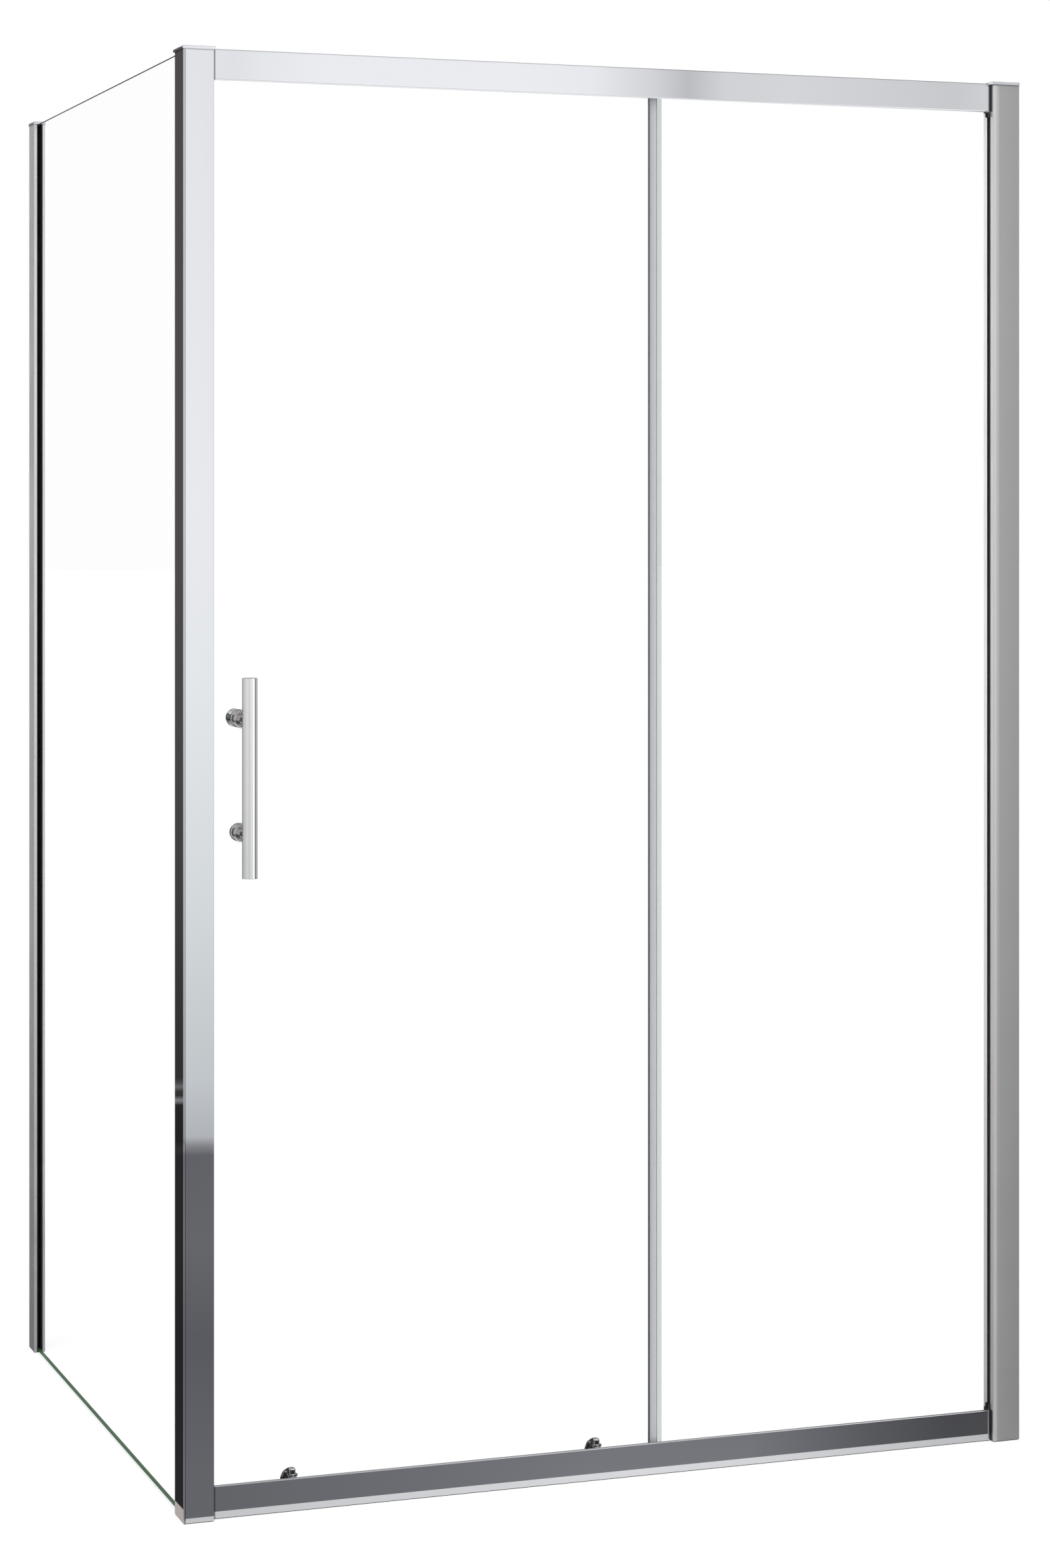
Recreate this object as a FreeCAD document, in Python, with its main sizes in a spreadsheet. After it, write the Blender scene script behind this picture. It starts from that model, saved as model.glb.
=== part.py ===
"""Corner shower enclosure: a sliding door and a fixed pane across the front, one glass side panel.

Millimetres. +X runs along the front to the wall it meets, +Y runs in from the front to the
other wall, +Z is up. The origin is the centre of the corner post's foot, on the tray.
"""
import FreeCAD
import Part
import os
import Sketcher

V = FreeCAD.Vector

# Every size that can be set by itself: name, millimetres, what it is.
DIMENSIONS = [
    ("front_length", 1200.0, "outer face of the corner post to the front wall"),
    ("side_width", 990.0, "front face of the corner post to the side wall"),
    ("frame_height", 1900.0, "tray to the top of the caps"),
    ("cap_thickness", 4.0, "plates that close the profiles' tops"),
    ("cap_overhang", 2.0, "how far a cap stands past its profile"),
    ("cap_round", 1.2, "rounding of a cap's top edges"),
    ("plug_depth", 8.0, "how far a cap's plug reaches into its profile"),
    ("plug_gap", 0.2, "clearance round a plug"),
    ("post_width", 40.0, "corner and wall posts, seen from the front"),
    ("post_depth", 48.0, "corner post, front to back"),
    ("post_wall", 1.6, "wall of the upright profiles"),
    ("post_round", 2.5, "rounding of the corner post's outer edge"),
    ("post_chamber", 19.0, "front chamber of the corner post, front to back"),
    ("wall_post_depth", 30.0, "wall post, front to back"),
    ("slot_depth", 14.0, "how deep a pane sits in an upright"),
    ("slot_floor_gap", 2.0, "free space past the pane's edge in its slot"),
    ("glass_thickness", 6.0, "toughened glass"),
    ("side_glass_inset", 5.8, "outer face of the corner post to the side pane"),
    ("side_glass_lift", 2.0, "side pane above the tray"),
    ("side_glass_drop", 0.5, "side pane below the top of the post"),
    ("side_gasket", 1.4, "gasket on each face of the side pane"),
    ("front_gasket", 1.7, "gasket on each face of the fixed pane"),
    ("gasket_base", 1.2, "gasket under a pane's edge"),
    ("gasket_proud", 0.4, "how far a gasket shows past its slot"),
    ("fit_gap", 0.1, "clearance between pieces that are pressed or screwed together"),
    ("nest_gap", 0.4, "clearance between a wall channel and the profile over it"),
    ("channel_wall", 1.4, "legs of the wall channels"),
    ("channel_base", 2.0, "base of the wall channels"),
    ("channel_leg", 18.0, "length of the wall channels' legs"),
    ("side_profile_width", 17.0, "side wall profile, seen from the shower's end"),
    ("side_profile_depth", 38.0, "side wall profile, wall to lip"),
    ("joint_gap", 0.4, "gap where a rail meets a post"),
    ("header_setback", 9.0, "front face of the post to the front face of the rails"),
    ("header_height", 38.0, "top rail, top to bottom"),
    ("header_depth", 38.0, "top rail, front to back"),
    ("header_lip", 2.0, "lip on the front of the top rail, height and thickness"),
    ("rail_wall", 2.0, "wall of the rails"),
    ("rail_height", 42.5, "bottom rail's front wall"),
    ("rail_box_depth", 24.0, "bottom rail's foot, front to back"),
    ("deck_height", 22.0, "top of the bottom rail's box"),
    ("deck_thickness", 1.8, "plate over the bottom rail's box"),
    ("glazing_gap", 0.4, "clearance of the fixed pane in the rails"),
    ("glazing_rib", 1.5, "rib behind the fixed pane"),
    ("header_rib_height", 22.0, "rib that hangs from the top rail behind the fixed pane"),
    ("rail_rib_height", 10.0, "rib that stands on the bottom rail behind the fixed pane"),
    ("port_size", 7.0, "screw port in a rail's end, square"),
    ("port_spacing", 12.0, "between the two screw ports of the top rail"),
    ("track_lift", 5.0, "underside of the track above the top rail's lower edge"),
    ("track_thickness", 3.0, "ledge that carries the top wheels"),
    ("track_reach", 8.4, "ledge, from the rear wall forward"),
    ("bead_height", 1.5, "bead that the top wheels run on"),
    ("bead_width", 2.0, "beads that the wheels run on"),
    ("hook_bead_drop", 1.2, "bead under the bottom rail's lip"),
    ("fixed_left", 648.0, "outer face of the corner post to the fixed pane's free edge"),
    ("fixed_glass_top_gap", 10.0, "fixed pane below the top rail's ceiling"),
    ("setting_block", 2.0, "blocks that the fixed pane stands on"),
    ("setting_block_length", 40.0, "length of a setting block"),
    ("setting_block_inset", 90.0, "setting block from the pane's edge"),
    ("panel_gap", 8.6, "back of the fixed pane to the front of the door's pane"),
    ("door_left_gap", 3.5, "corner post to the door's pane"),
    ("door_overlap", 16.5, "door's pane past the fixed pane's free edge"),
    ("door_deck_gap", 2.0, "door's pane above the bottom rail's deck"),
    ("hanger_edge", 11.0, "hanger hole to the top edge of the door's pane"),
    ("roller_inset_left", 112.0, "left rollers from the door's leading edge"),
    ("roller_inset_right", 83.0, "right rollers from the door's trailing edge"),
    ("glass_hole", 6.0, "radius of the rollers' holes and notches in the door's pane"),
    ("stud_clear", 1.5, "clearance of the handle's studs in the door's pane"),
    ("washer", 0.6, "soft washers on the glass"),
    ("running_gap", 0.3, "clearance between a wheel and its bead"),
    ("top_wheel_radius", 9.0, "top wheels"),
    ("top_wheel_width", 5.0, "top wheels"),
    ("groove_depth", 1.2, "groove in a wheel's tread"),
    ("groove_width", 2.8, "groove in a wheel's tread"),
    ("axle_radius", 2.0, "top wheels' axles"),
    ("axle_gap", 0.05, "running clearance round an axle"),
    ("axle_head", 3.2, "radius of an axle's head and collar"),
    ("axle_head_thickness", 0.8, "an axle's head"),
    ("wheel_side_gap", 0.2, "clearance beside a wheel"),
    ("wheel_spacing", 26.0, "the two wheels of one hanger"),
    ("hanger_drop", 3.6, "hanger's bolt below its wheels' axles"),
    ("hanger_half_length", 22.0, "hanger plate, from its middle"),
    ("hanger_below", 8.0, "hanger plate below its bolt"),
    ("hanger_above", 11.0, "hanger plate above its bolt"),
    ("hanger_plate", 3.0, "hanger plate's thickness"),
    ("hanger_corner", 4.0, "hanger plate's corner rounding"),
    ("collar_length", 2.6, "collar between a hanger plate and its wheel"),
    ("front_cap_radius", 9.0, "caps of the hangers' bolts"),
    ("front_cap_thickness", 3.1, "caps of the bolts on the door's outside"),
    ("bolt_radius", 2.5, "bolts through the door's pane"),
    ("stop_length", 18.0, "rubber stops in the top rail"),
    ("stop_gap", 0.4, "hanger to its stop at the end of the travel"),
    ("door_travel", 480.0, "how far the door opens"),
    ("roller_bolt_height", 30.0, "bottom rollers' bolts above the tray"),
    ("roller_cap_radius", 7.5, "caps of the bottom rollers' bolts"),
    ("roller_flange", 7.5, "radius of a bottom roller's flange on the glass"),
    ("roller_flange_thickness", 2.0, "a bottom roller's flange"),
    ("plunger_setback", 7.8, "inner face of the door's pane to the plunger's axis"),
    ("hood_radius", 14.4, "round hood over a bottom wheel"),
    ("hood_height", 32.0, "centre of the hood above the tray"),
    ("hood_thickness", 3.4, "the hood"),
    ("hood_rim", 1.8, "the hood's rim, seen from the front"),
    ("hood_recess", 1.4, "depth of the hood's face behind its rim"),
    ("hood_gap", 0.4, "clearance between the hood and the plunger"),
    ("cup_radius", 5.8, "cup that guides the release button"),
    ("cup_floor", 2.3, "floor of the cup"),
    ("cup_collar", 7.1, "radius of the cup's collar"),
    ("cup_collar_thickness", 2.0, "the cup's collar"),
    ("cup_top", 39.0, "top of the cup above the tray"),
    ("button_radius", 4.3, "release button"),
    ("button_top", 47.2, "top of the release button above the tray"),
    ("button_in_cup", 1.5, "how deep the released button sits in its cup"),
    ("button_gap", 0.2, "clearance round the button"),
    ("button_round", 2.2, "rounding of the button's top"),
    ("release_travel", 4.0, "how far the button goes down"),
    ("plunger_radius", 2.0, "the plunger's rod"),
    ("arm_thickness", 2.0, "arm at the foot of the plunger"),
    ("arm_half_width", 4.0, "arm and tongue, from their middle"),
    ("tongue_thickness", 2.2, "tongue that carries the bottom wheel"),
    ("bottom_wheel_radius", 7.0, "bottom wheels"),
    ("bottom_wheel_width", 4.4, "bottom wheels"),
    ("bottom_groove", 1.0, "groove depth of the bottom wheels"),
    ("pin_radius", 1.5, "bottom wheels' pins"),
    ("pin_head", 2.4, "radius of the pins' heads"),
    ("pin_head_thickness", 0.7, "the pins' heads"),
    ("spring_wire", 0.6, "release spring's wire"),
    ("spring_turns", 3.5, "release spring's turns"),
    ("seal_leg", 0.8, "legs of the clip-on seals"),
    ("leading_seal_grip", 2.6, "leading seal's legs on the glass"),
    ("leading_seal_clear", 0.4, "leading seal to the corner post"),
    ("edge_seal_grip", 2.2, "door edge seal's legs on the glass"),
    ("edge_seal_reach", 3.7, "door edge seal past the glass"),
    ("edge_seal_clear", 0.8, "door edge seal's fin to the fixed pane"),
    ("fixed_seal_start", 3.0, "fixed edge seal from the pane's free edge"),
    ("fixed_seal_width", 9.4, "fixed edge seal"),
    ("fixed_seal_base", 1.4, "fixed edge seal's strip on the glass"),
    ("fixed_seal_fin", 1.2, "fin of the fixed edge seal"),
    ("fixed_seal_clear", 0.4, "fin to the door's pane"),
    ("end_block_top", 6.5, "plastic block over the fixed pane's gasket"),
    ("end_block_bottom", 8.0, "plastic block under the fixed pane's gasket"),
    ("handle_inset", 38.5, "handle's axis from the door's leading edge"),
    ("handle_height", 957.0, "middle of the handle above the tray"),
    ("handle_length", 258.5, "handle bar"),
    ("handle_radius", 10.0, "handle bar"),
    ("handle_round", 0.8, "rounding of the bar's ends"),
    ("handle_spacing", 148.0, "centre to centre of the handle's fixings"),
    ("handle_reach", 47.0, "outer face of the door's pane to the bar's axis"),
    ("neck_radius", 7.2, "handle's necks"),
    ("rosette_radius", 12.0, "handle's rosettes and inner fixings"),
    ("rosette_thickness", 9.6, "handle's rosettes"),
    ("rosette_round", 2.4, "rounding of a rosette"),
    ("stud_radius", 3.0, "handle's studs"),
    ("stud_in_neck", 14.0, "how far a stud reaches into its neck"),
    ("stud_in_knob", 5.0, "how far a stud reaches into its inner fixing"),
    ("knob_length", 30.0, "inner pull knob"),
    ("knob_waist", 8.5, "radius of the inner pull knob's waist"),
    ("knob_base", 4.0, "inner pull knob's base"),
    ("inner_cap_thickness", 6.5, "inner cap behind the handle's lower fixing"),
    ("screw_radius", 2.0, "screws into the rails' ends"),
    ("screw_head", 3.4, "radius of those screws' heads"),
    ("screw_head_thickness", 2.2, "those screws' heads"),
    ("screw_length", 22.0, "those screws under the head"),
    ("foot_plate", 1.8, "plate of the corner post's foot plug"),
    ("foot_grip", 12.0, "height of the foot plug's grip"),
    ("foot_grip_width", 14.0, "width of the foot plug's grip"),
    ("cover_thickness", 1.6, "cover on the corner post's rear chamber"),
    ("wall_hole", 2.75, "radius of the holes for the wall screws"),
    ("wall_hole_outer", 1600.0, "outer pair of wall holes, apart"),
    ("wall_hole_inner", 560.0, "inner pair of wall holes, apart"),
    ("adjust_radius", 1.7, "adjusting screws"),
    ("adjust_head", 3.2, "radius of the adjusting screws' heads"),
    ("adjust_head_thickness", 1.4, "the adjusting screws' heads"),
    ("adjust_from_wall", 11.0, "adjusting screws from the wall"),
    ("adjust_spacing", 650.0, "adjusting screws, apart"),
    ("cover_cap_radius", 5.2, "caps over the adjusting screws"),
    ("cover_cap_height", 2.8, "caps over the adjusting screws"),
    ("cover_cap_wall", 0.9, "caps over the adjusting screws"),
    ("end_cap_thickness", 1.5, "cap on the top rail's open end"),
]


class Size:
    """A length: its number, and the spreadsheet formula that gives it."""

    def __init__(self, value, text):
        self.value = value
        self.text = text

    def __add__(self, other):
        other = as_size(other)
        return Size(self.value + other.value, f"({self.text} + {other.text})")

    def __sub__(self, other):
        other = as_size(other)
        return Size(self.value - other.value, f"({self.text} - {other.text})")

    def __mul__(self, factor):
        return Size(self.value * factor, f"({self.text} * {factor})")

    def __truediv__(self, factor):
        return Size(self.value / factor, f"({self.text} / {factor})")

    def __neg__(self):
        return Size(-self.value, f"(0 - {self.text})")


def as_size(value):
    """A plain number as a Size."""
    return value if isinstance(value, Size) else Size(float(value), repr(float(value)))


class Dimensions:
    """The sheet of driving dimensions; each one is an attribute here, as a Size."""

    def __init__(self, sheet, table):
        for row, (name, value, note) in enumerate(table, start=1):
            sheet.set(f"A{row}", name)
            sheet.set(f"B{row}", str(value))
            sheet.setAlias(f"B{row}", name)
            sheet.set(f"C{row}", note)
            setattr(self, name, Size(value, f"{sheet.Name}.{name}"))


doc = FreeCAD.newDocument("shower_enclosure")
sheet = doc.addObject("Spreadsheet::Sheet", "Dimensions")
d = Dimensions(sheet, DIMENSIONS)
doc.recompute()

ZERO = as_size(0)
FULL_TURN = 360.0
EDGE_SHARE = 0.9  # of a wall, taken by the rounding of its edge

# Directions that a turned piece or a rod can point in, from its own +Y or +Z.
TURNED = {
    "+X": FreeCAD.Rotation(V(0, 0, 1), -90),
    "-X": FreeCAD.Rotation(V(0, 0, 1), 90),
    "+Y": FreeCAD.Rotation(),
    "-Y": FreeCAD.Rotation(V(0, 0, 1), 180),
    "+Z": FreeCAD.Rotation(V(1, 0, 0), 90),
}
ROD = {
    "+X": FreeCAD.Rotation(V(0, 1, 0), 90),
    "+Y": FreeCAD.Rotation(V(1, 0, 0), -90),
    "+Z": FreeCAD.Rotation(),
}

nodes = []


def keep(obj, label):
    """Names a finished sub-part and adds it to those that are written."""
    obj.Label = label
    nodes.append(obj)
    return obj


def place(obj, point, rotation=FreeCAD.Rotation()):
    """Puts an object at a point of Sizes."""
    obj.Placement = FreeCAD.Placement(V(*[as_size(c).value for c in point]), rotation)
    for letter, coordinate in zip("xyz", point):
        obj.setExpression(f"Placement.Base.{letter}", as_size(coordinate).text)
    return obj


def box(name, x, y, z):
    """A block; x, y and z are (low, high) pairs."""
    obj = doc.addObject("Part::Box", name)
    for side, (low, high) in zip(("Length", "Width", "Height"), (x, y, z)):
        obj.setExpression(side, (high - low).text)
    return place(obj, (x[0], y[0], z[0]))


def rod(name, direction, start, radius, length):
    """A cylinder from a point along a direction."""
    obj = doc.addObject("Part::Cylinder", name)
    obj.setExpression("Radius", as_size(radius).text)
    obj.setExpression("Height", as_size(length).text)
    return place(obj, start, ROD[direction])


def join(name, pieces):
    """Several solids made one."""
    obj = doc.addObject("Part::MultiFuse", name)
    obj.Shapes = pieces
    obj.Refine = True
    return obj


def group(name, pieces):
    """Separate solids in one sub-part."""
    obj = doc.addObject("Part::Compound", name)
    obj.Links = pieces
    return obj


def cut(name, base, tools):
    """A solid less its tools."""
    obj = doc.addObject("Part::Cut", name)
    obj.Base = base
    obj.Tool = tools[0] if len(tools) == 1 else join(f"{name}_tools", tools)
    obj.Refine = True
    return obj


def pin_point(sketch, geometry, which, x, y):
    """Holds one point of a sketch at two Sizes."""
    for kind, size in (("DistanceX", as_size(x)), ("DistanceY", as_size(y))):
        index = sketch.addConstraint(Sketcher.Constraint(kind, geometry, which, size.value))
        sketch.setExpression(f"Constraints[{index}]", size.text)


def draw_outline(sketch, points):
    """A closed run of straight lines through the points."""
    numbers = [V(as_size(x).value, as_size(y).value, 0) for x, y in points]
    first = sketch.GeometryCount
    for start, end in zip(numbers, numbers[1:] + numbers[:1]):
        sketch.addGeometry(Part.LineSegment(start, end))
    count = len(points)
    for k in range(count):
        after = first + (k + 1) % count
        sketch.addConstraint(Sketcher.Constraint("Coincident", first + k, 2, after, 1))
    for k, (x, y) in enumerate(points):
        pin_point(sketch, first + k, 1, x, y)


def draw_circle(sketch, x, y, radius):
    """A circle with its centre and radius held."""
    centre = V(as_size(x).value, as_size(y).value, 0)
    circle = sketch.addGeometry(Part.Circle(centre, V(0, 0, 1), radius.value))
    pin_point(sketch, circle, 3, x, y)
    index = sketch.addConstraint(Sketcher.Constraint("Radius", circle, radius.value))
    sketch.setExpression(f"Constraints[{index}]", radius.text)


def new_sketch(body, role):
    """A sketch on one of the body's own origin planes."""
    plane = [f for f in body.Origin.OriginFeatures if f.Role == role][0]
    sketch = body.newObject("Sketcher::SketchObject", f"{body.Name}_sketch")
    sketch.AttachmentSupport = [(plane, "")]
    sketch.MapMode = "FlatFace"
    return sketch


def extrusion(name, plane, outlines, start, end, circles=()):
    """A profile pushed along the normal of its plane, from start to end.

    The first outline is the outside, the others are hollows. Points are (x, y) on the XY plane
    and (y, z) on the YZ plane.
    """
    body = doc.addObject("PartDesign::Body", name)
    sketch = new_sketch(body, f"{plane}_Plane")
    for outline in outlines:
        draw_outline(sketch, outline)
    for x, y, radius in circles:
        draw_circle(sketch, x, y, radius)
    pad = body.newObject("PartDesign::Pad", f"{name}_pad")
    pad.Profile = sketch
    pad.setExpression("Length", (end - start).text)
    base = (ZERO, ZERO, start) if plane == "XY" else (start, ZERO, ZERO)
    place(body, base)
    doc.recompute()
    return body


def turned(name, direction, start, outline):
    """A piece turned about a line; the outline is (radius, distance along the line)."""
    body = doc.addObject("PartDesign::Body", name)
    sketch = new_sketch(body, "XY_Plane")
    draw_outline(sketch, outline)
    revolution = body.newObject("PartDesign::Revolution", f"{name}_turn")
    revolution.Profile = sketch
    revolution.ReferenceAxis = (sketch, ["V_Axis"])
    revolution.Angle = FULL_TURN
    place(body, start, TURNED[direction])
    doc.recompute()
    return body


def edges_where(obj, test):
    """Names of an object's edges that pass a test, in its own frame."""
    return [f"Edge{k}" for k, edge in enumerate(obj.Shape.Edges, start=1) if test(edge)]


def near(value, size):
    """Whether a coordinate is at a Size."""
    return abs(value - size.value) < 0.01


def rounded(body, test, radius):
    """Fillets the edges of a body that pass a test."""
    tip = body.Tip
    fillet = body.newObject("PartDesign::Fillet", f"{body.Name}_round")
    fillet.Base = (tip, edges_where(tip, test))
    fillet.setExpression("Radius", as_size(radius).text)
    body.Tip = fillet
    doc.recompute()
    return body


def rounded_solid(name, base, test, radius):
    """Fillets the edges of a plain solid that pass a test."""
    doc.recompute()
    fillet = doc.addObject("Part::Fillet", name)
    fillet.Base = base
    chosen = [int(edge[4:]) for edge in edges_where(base, test)]
    fillet.Edges = [(edge, radius.value, radius.value) for edge in chosen]
    doc.recompute()
    return fillet


def along_z(edge):
    return abs(edge.BoundBox.ZLength - edge.Length) < 0.001


def along_x(edge):
    return abs(edge.BoundBox.XLength - edge.Length) < 0.001


# ---------------------------------------------------------------- where things are

# The frame's outside.
left = -d.post_width / 2
front = -d.post_depth / 2
right = left + d.front_length
back = front + d.side_width
profile_top = d.frame_height - d.cap_thickness
channel_top = profile_top - d.plug_depth - d.plug_gap
post_right = left + d.post_width
post_back = front + d.post_depth
wall_post_left = right - d.post_width
rails_start = post_right + d.joint_gap
rails_end = wall_post_left - d.joint_gap

# The rails' sections, front to back.
rails_front = front + d.header_setback
fixed_front = rails_front + d.rail_wall + d.glazing_gap
fixed_back = fixed_front + d.glass_thickness
rib_front = fixed_back + d.glazing_gap
rib_back = rib_front + d.glazing_rib
door_front = fixed_back + d.panel_gap
door_back = door_front + d.glass_thickness
header_back = rails_front + d.header_depth
rail_box_back = rails_front + d.rail_box_depth

# The rails' sections, bottom to top.
header_bottom = profile_top - d.header_height
header_ceiling = profile_top - d.rail_wall
track_bottom = header_bottom + d.track_lift
track_top = track_bottom + d.track_thickness
bead_top = track_top + d.bead_height
deck_bottom = d.deck_height - d.deck_thickness
hook_bottom = deck_bottom - d.hook_bead_drop

# The door's pane and its rollers.
door_left = post_right + d.door_left_gap
fixed_left = left + d.fixed_left
door_right = fixed_left + d.door_overlap
top_axle_z = bead_top + d.running_gap + d.top_wheel_radius - d.groove_depth
hanger_z = top_axle_z - d.hanger_drop
door_top = hanger_z + d.hanger_edge
door_bottom = d.deck_height + d.door_deck_gap
roller_x = {"left": door_left + d.roller_inset_left, "right": door_right - d.roller_inset_right}
cap_front = door_front - d.washer - d.front_cap_thickness
inner_seat = door_back + d.washer

# The top wheels, front to back.
plate_back = inner_seat + d.hanger_plate
top_wheel_front = plate_back + d.collar_length + d.wheel_side_gap
top_wheel_back = top_wheel_front + d.top_wheel_width
top_wheel_middle = top_wheel_front + d.top_wheel_width / 2

# The bottom rollers.
plunger_y = door_back + d.plunger_setback
bottom_wheel_front = plunger_y - d.bottom_wheel_width / 2
bottom_wheel_back = plunger_y + d.bottom_wheel_width / 2
bottom_axle_z = hook_bottom - d.running_gap - d.bottom_wheel_radius + d.bottom_groove
tongue_front = bottom_wheel_back + d.hood_gap
tongue_back = tongue_front + d.tongue_thickness
hood_front = tongue_back + d.hood_gap
hood_back = hood_front + d.hood_thickness
lip_back = plunger_y + d.bead_width / 2
arm_bottom = d.deck_height + d.release_travel + d.hood_gap
arm_top = arm_bottom + d.arm_thickness
cup_bottom = arm_top + d.running_gap
cup_floor_top = cup_bottom + d.cup_floor
button_bottom = d.cup_top - d.button_in_cup

# The handle.
handle_x = door_left + d.handle_inset
handle_axis_y = door_front - d.handle_reach
fixing_z = {
    "upper": d.handle_height + d.handle_spacing / 2,
    "lower": d.handle_height - d.handle_spacing / 2,
}

# The side panel.
side_glass_left = left + d.side_glass_inset
side_glass_right = side_glass_left + d.glass_thickness
side_slot_left = side_glass_left - d.side_gasket
side_slot_right = side_glass_right + d.side_gasket
post_slot_floor = post_back - d.slot_depth - d.slot_floor_gap
side_profile_front = back - d.side_profile_depth
side_profile_right = left + d.side_profile_width
side_slot_floor = side_profile_front + d.slot_depth + d.slot_floor_gap

# The fixed pane's slot in the wall post.
wall_slot_front = fixed_front - d.front_gasket
wall_slot_back = fixed_back + d.front_gasket
wall_slot_floor = wall_post_left + d.slot_depth + d.slot_floor_gap
adjust_z = [profile_top / 2 + d.adjust_spacing * k for k in (-1, 0, 1)]
adjust_hole = d.adjust_radius + d.fit_gap
screw_hole = d.screw_radius + d.fit_gap
wall_hole_z = [
    profile_top / 2 + spread * side
    for spread in (d.wall_hole_outer / 2, d.wall_hole_inner / 2)
    for side in (-1, 1)
]


# ---------------------------------------------------------------- uprights

def corner_post():
    """Extruded post: closed front chamber, open rear chamber, slot for the side pane."""
    chamber_back = front + d.post_chamber
    slot_wall_right = side_slot_right + d.post_wall
    cover_front = post_back - d.cover_thickness - d.fit_gap
    outside = [
        (left, front),
        (post_right, front),
        (post_right, cover_front),
        (post_right - d.post_wall, cover_front),
        (post_right - d.post_wall, chamber_back + d.post_wall),
        (slot_wall_right, chamber_back + d.post_wall),
        (slot_wall_right, post_back),
        (side_slot_right, post_back),
        (side_slot_right, post_slot_floor),
        (side_slot_left, post_slot_floor),
        (side_slot_left, post_back),
        (left, post_back),
    ]
    chamber = [
        (left + d.post_wall, front + d.post_wall),
        (post_right - d.post_wall, front + d.post_wall),
        (post_right - d.post_wall, chamber_back),
        (left + d.post_wall, chamber_back),
    ]
    body = extrusion("corner_post_profile", "XY", [outside, chamber], ZERO, profile_top)

    def outer_edge(edge):
        at = edge.CenterOfMass
        return along_z(edge) and near(at.x, left) and near(at.y, front)

    rounded(body, outer_edge, d.post_round)
    screws = [(y, header_port_z) for y in header_port_y]
    screws += [(port_y, z) for z in rail_port_z]
    start = post_right - d.post_wall * 2
    holes = [
        rod(f"corner_post_hole{k}", "+X", (start, y, z), screw_hole, d.post_wall * 3)
        for k, (y, z) in enumerate(screws)
    ]
    keep(cut("corner_post_drilled", body, holes), "corner_post")

    cover = box(
        "corner_post_cover_plate",
        (slot_wall_right + d.fit_gap, post_right),
        (post_back - d.cover_thickness, post_back),
        (ZERO, profile_top),
    )
    clips = [
        box(
            f"corner_post_cover_clip{k}",
            (x, x + d.cover_thickness),
            (post_back - d.cover_thickness * 4, post_back - d.cover_thickness / 2),
            (ZERO, profile_top),
        )
        for k, x in enumerate(
            (slot_wall_right + d.fit_gap, post_right - d.post_wall - d.fit_gap - d.cover_thickness)
        )
    ]
    keep(join("corner_post_cover_joined", [cover] + clips), "corner_post_cover")

    foot_left = slot_wall_right + d.plug_gap
    foot_front = chamber_back + d.post_wall + d.plug_gap
    foot_right = post_right - d.post_wall - d.plug_gap
    foot_back = post_back - d.cover_thickness * 4 - d.plug_gap
    plate = box("foot_plate", (foot_left, foot_right), (foot_front, foot_back), (ZERO, d.foot_plate))
    grip = box(
        "foot_grip",
        (foot_left, foot_left + d.foot_grip_width),
        (foot_front, foot_back),
        (ZERO, d.foot_grip),
    )
    keep(join("corner_post_foot_joined", [plate, grip]), "corner_post_foot")


def cap(name, x, y, plug_x, plug_y):
    """Plate on a profile's top, its upper edges rounded, with a plug that goes into the profile."""
    plate = box(f"{name}_plate", x, y, (profile_top, d.frame_height))
    top = rounded_solid(
        f"{name}_rounded",
        plate,
        lambda edge: near(edge.CenterOfMass.z, d.frame_height) and edge.BoundBox.ZLength < 0.01,
        d.cap_round,
    )
    plug = box(f"{name}_plug", plug_x, plug_y, (profile_top - d.plug_depth, profile_top))
    keep(join(f"{name}_joined", [top, plug]), name)


def caps():
    """Caps of the three uprights."""
    inside = d.post_wall + d.plug_gap
    cap(
        "corner_post_cap",
        (left - d.cap_overhang, post_right + d.cap_overhang),
        (front - d.cap_overhang, post_back + d.cap_overhang),
        (left + inside, post_right - inside),
        (front + inside, front + d.post_chamber - d.plug_gap),
    )
    cap(
        "wall_post_cap",
        (wall_post_left - d.cap_overhang, right),
        (front - d.cap_overhang, front + d.wall_post_depth + d.cap_overhang),
        (wall_post_left + inside + d.screw_head_thickness, right - d.channel_leg - d.channel_base),
        (front + inside, wall_slot_front - d.post_wall - d.plug_gap),
    )
    cap(
        "side_profile_cap",
        (left - d.cap_overhang / 2, side_profile_right + d.cap_overhang / 2),
        (side_profile_front - d.cap_overhang / 2, back),
        (left + inside + d.channel_wall + d.nest_gap, side_profile_right - inside - d.channel_wall * 2),
        (side_slot_floor + d.post_wall + d.plug_gap, back - d.channel_base - d.plug_gap),
    )


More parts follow.
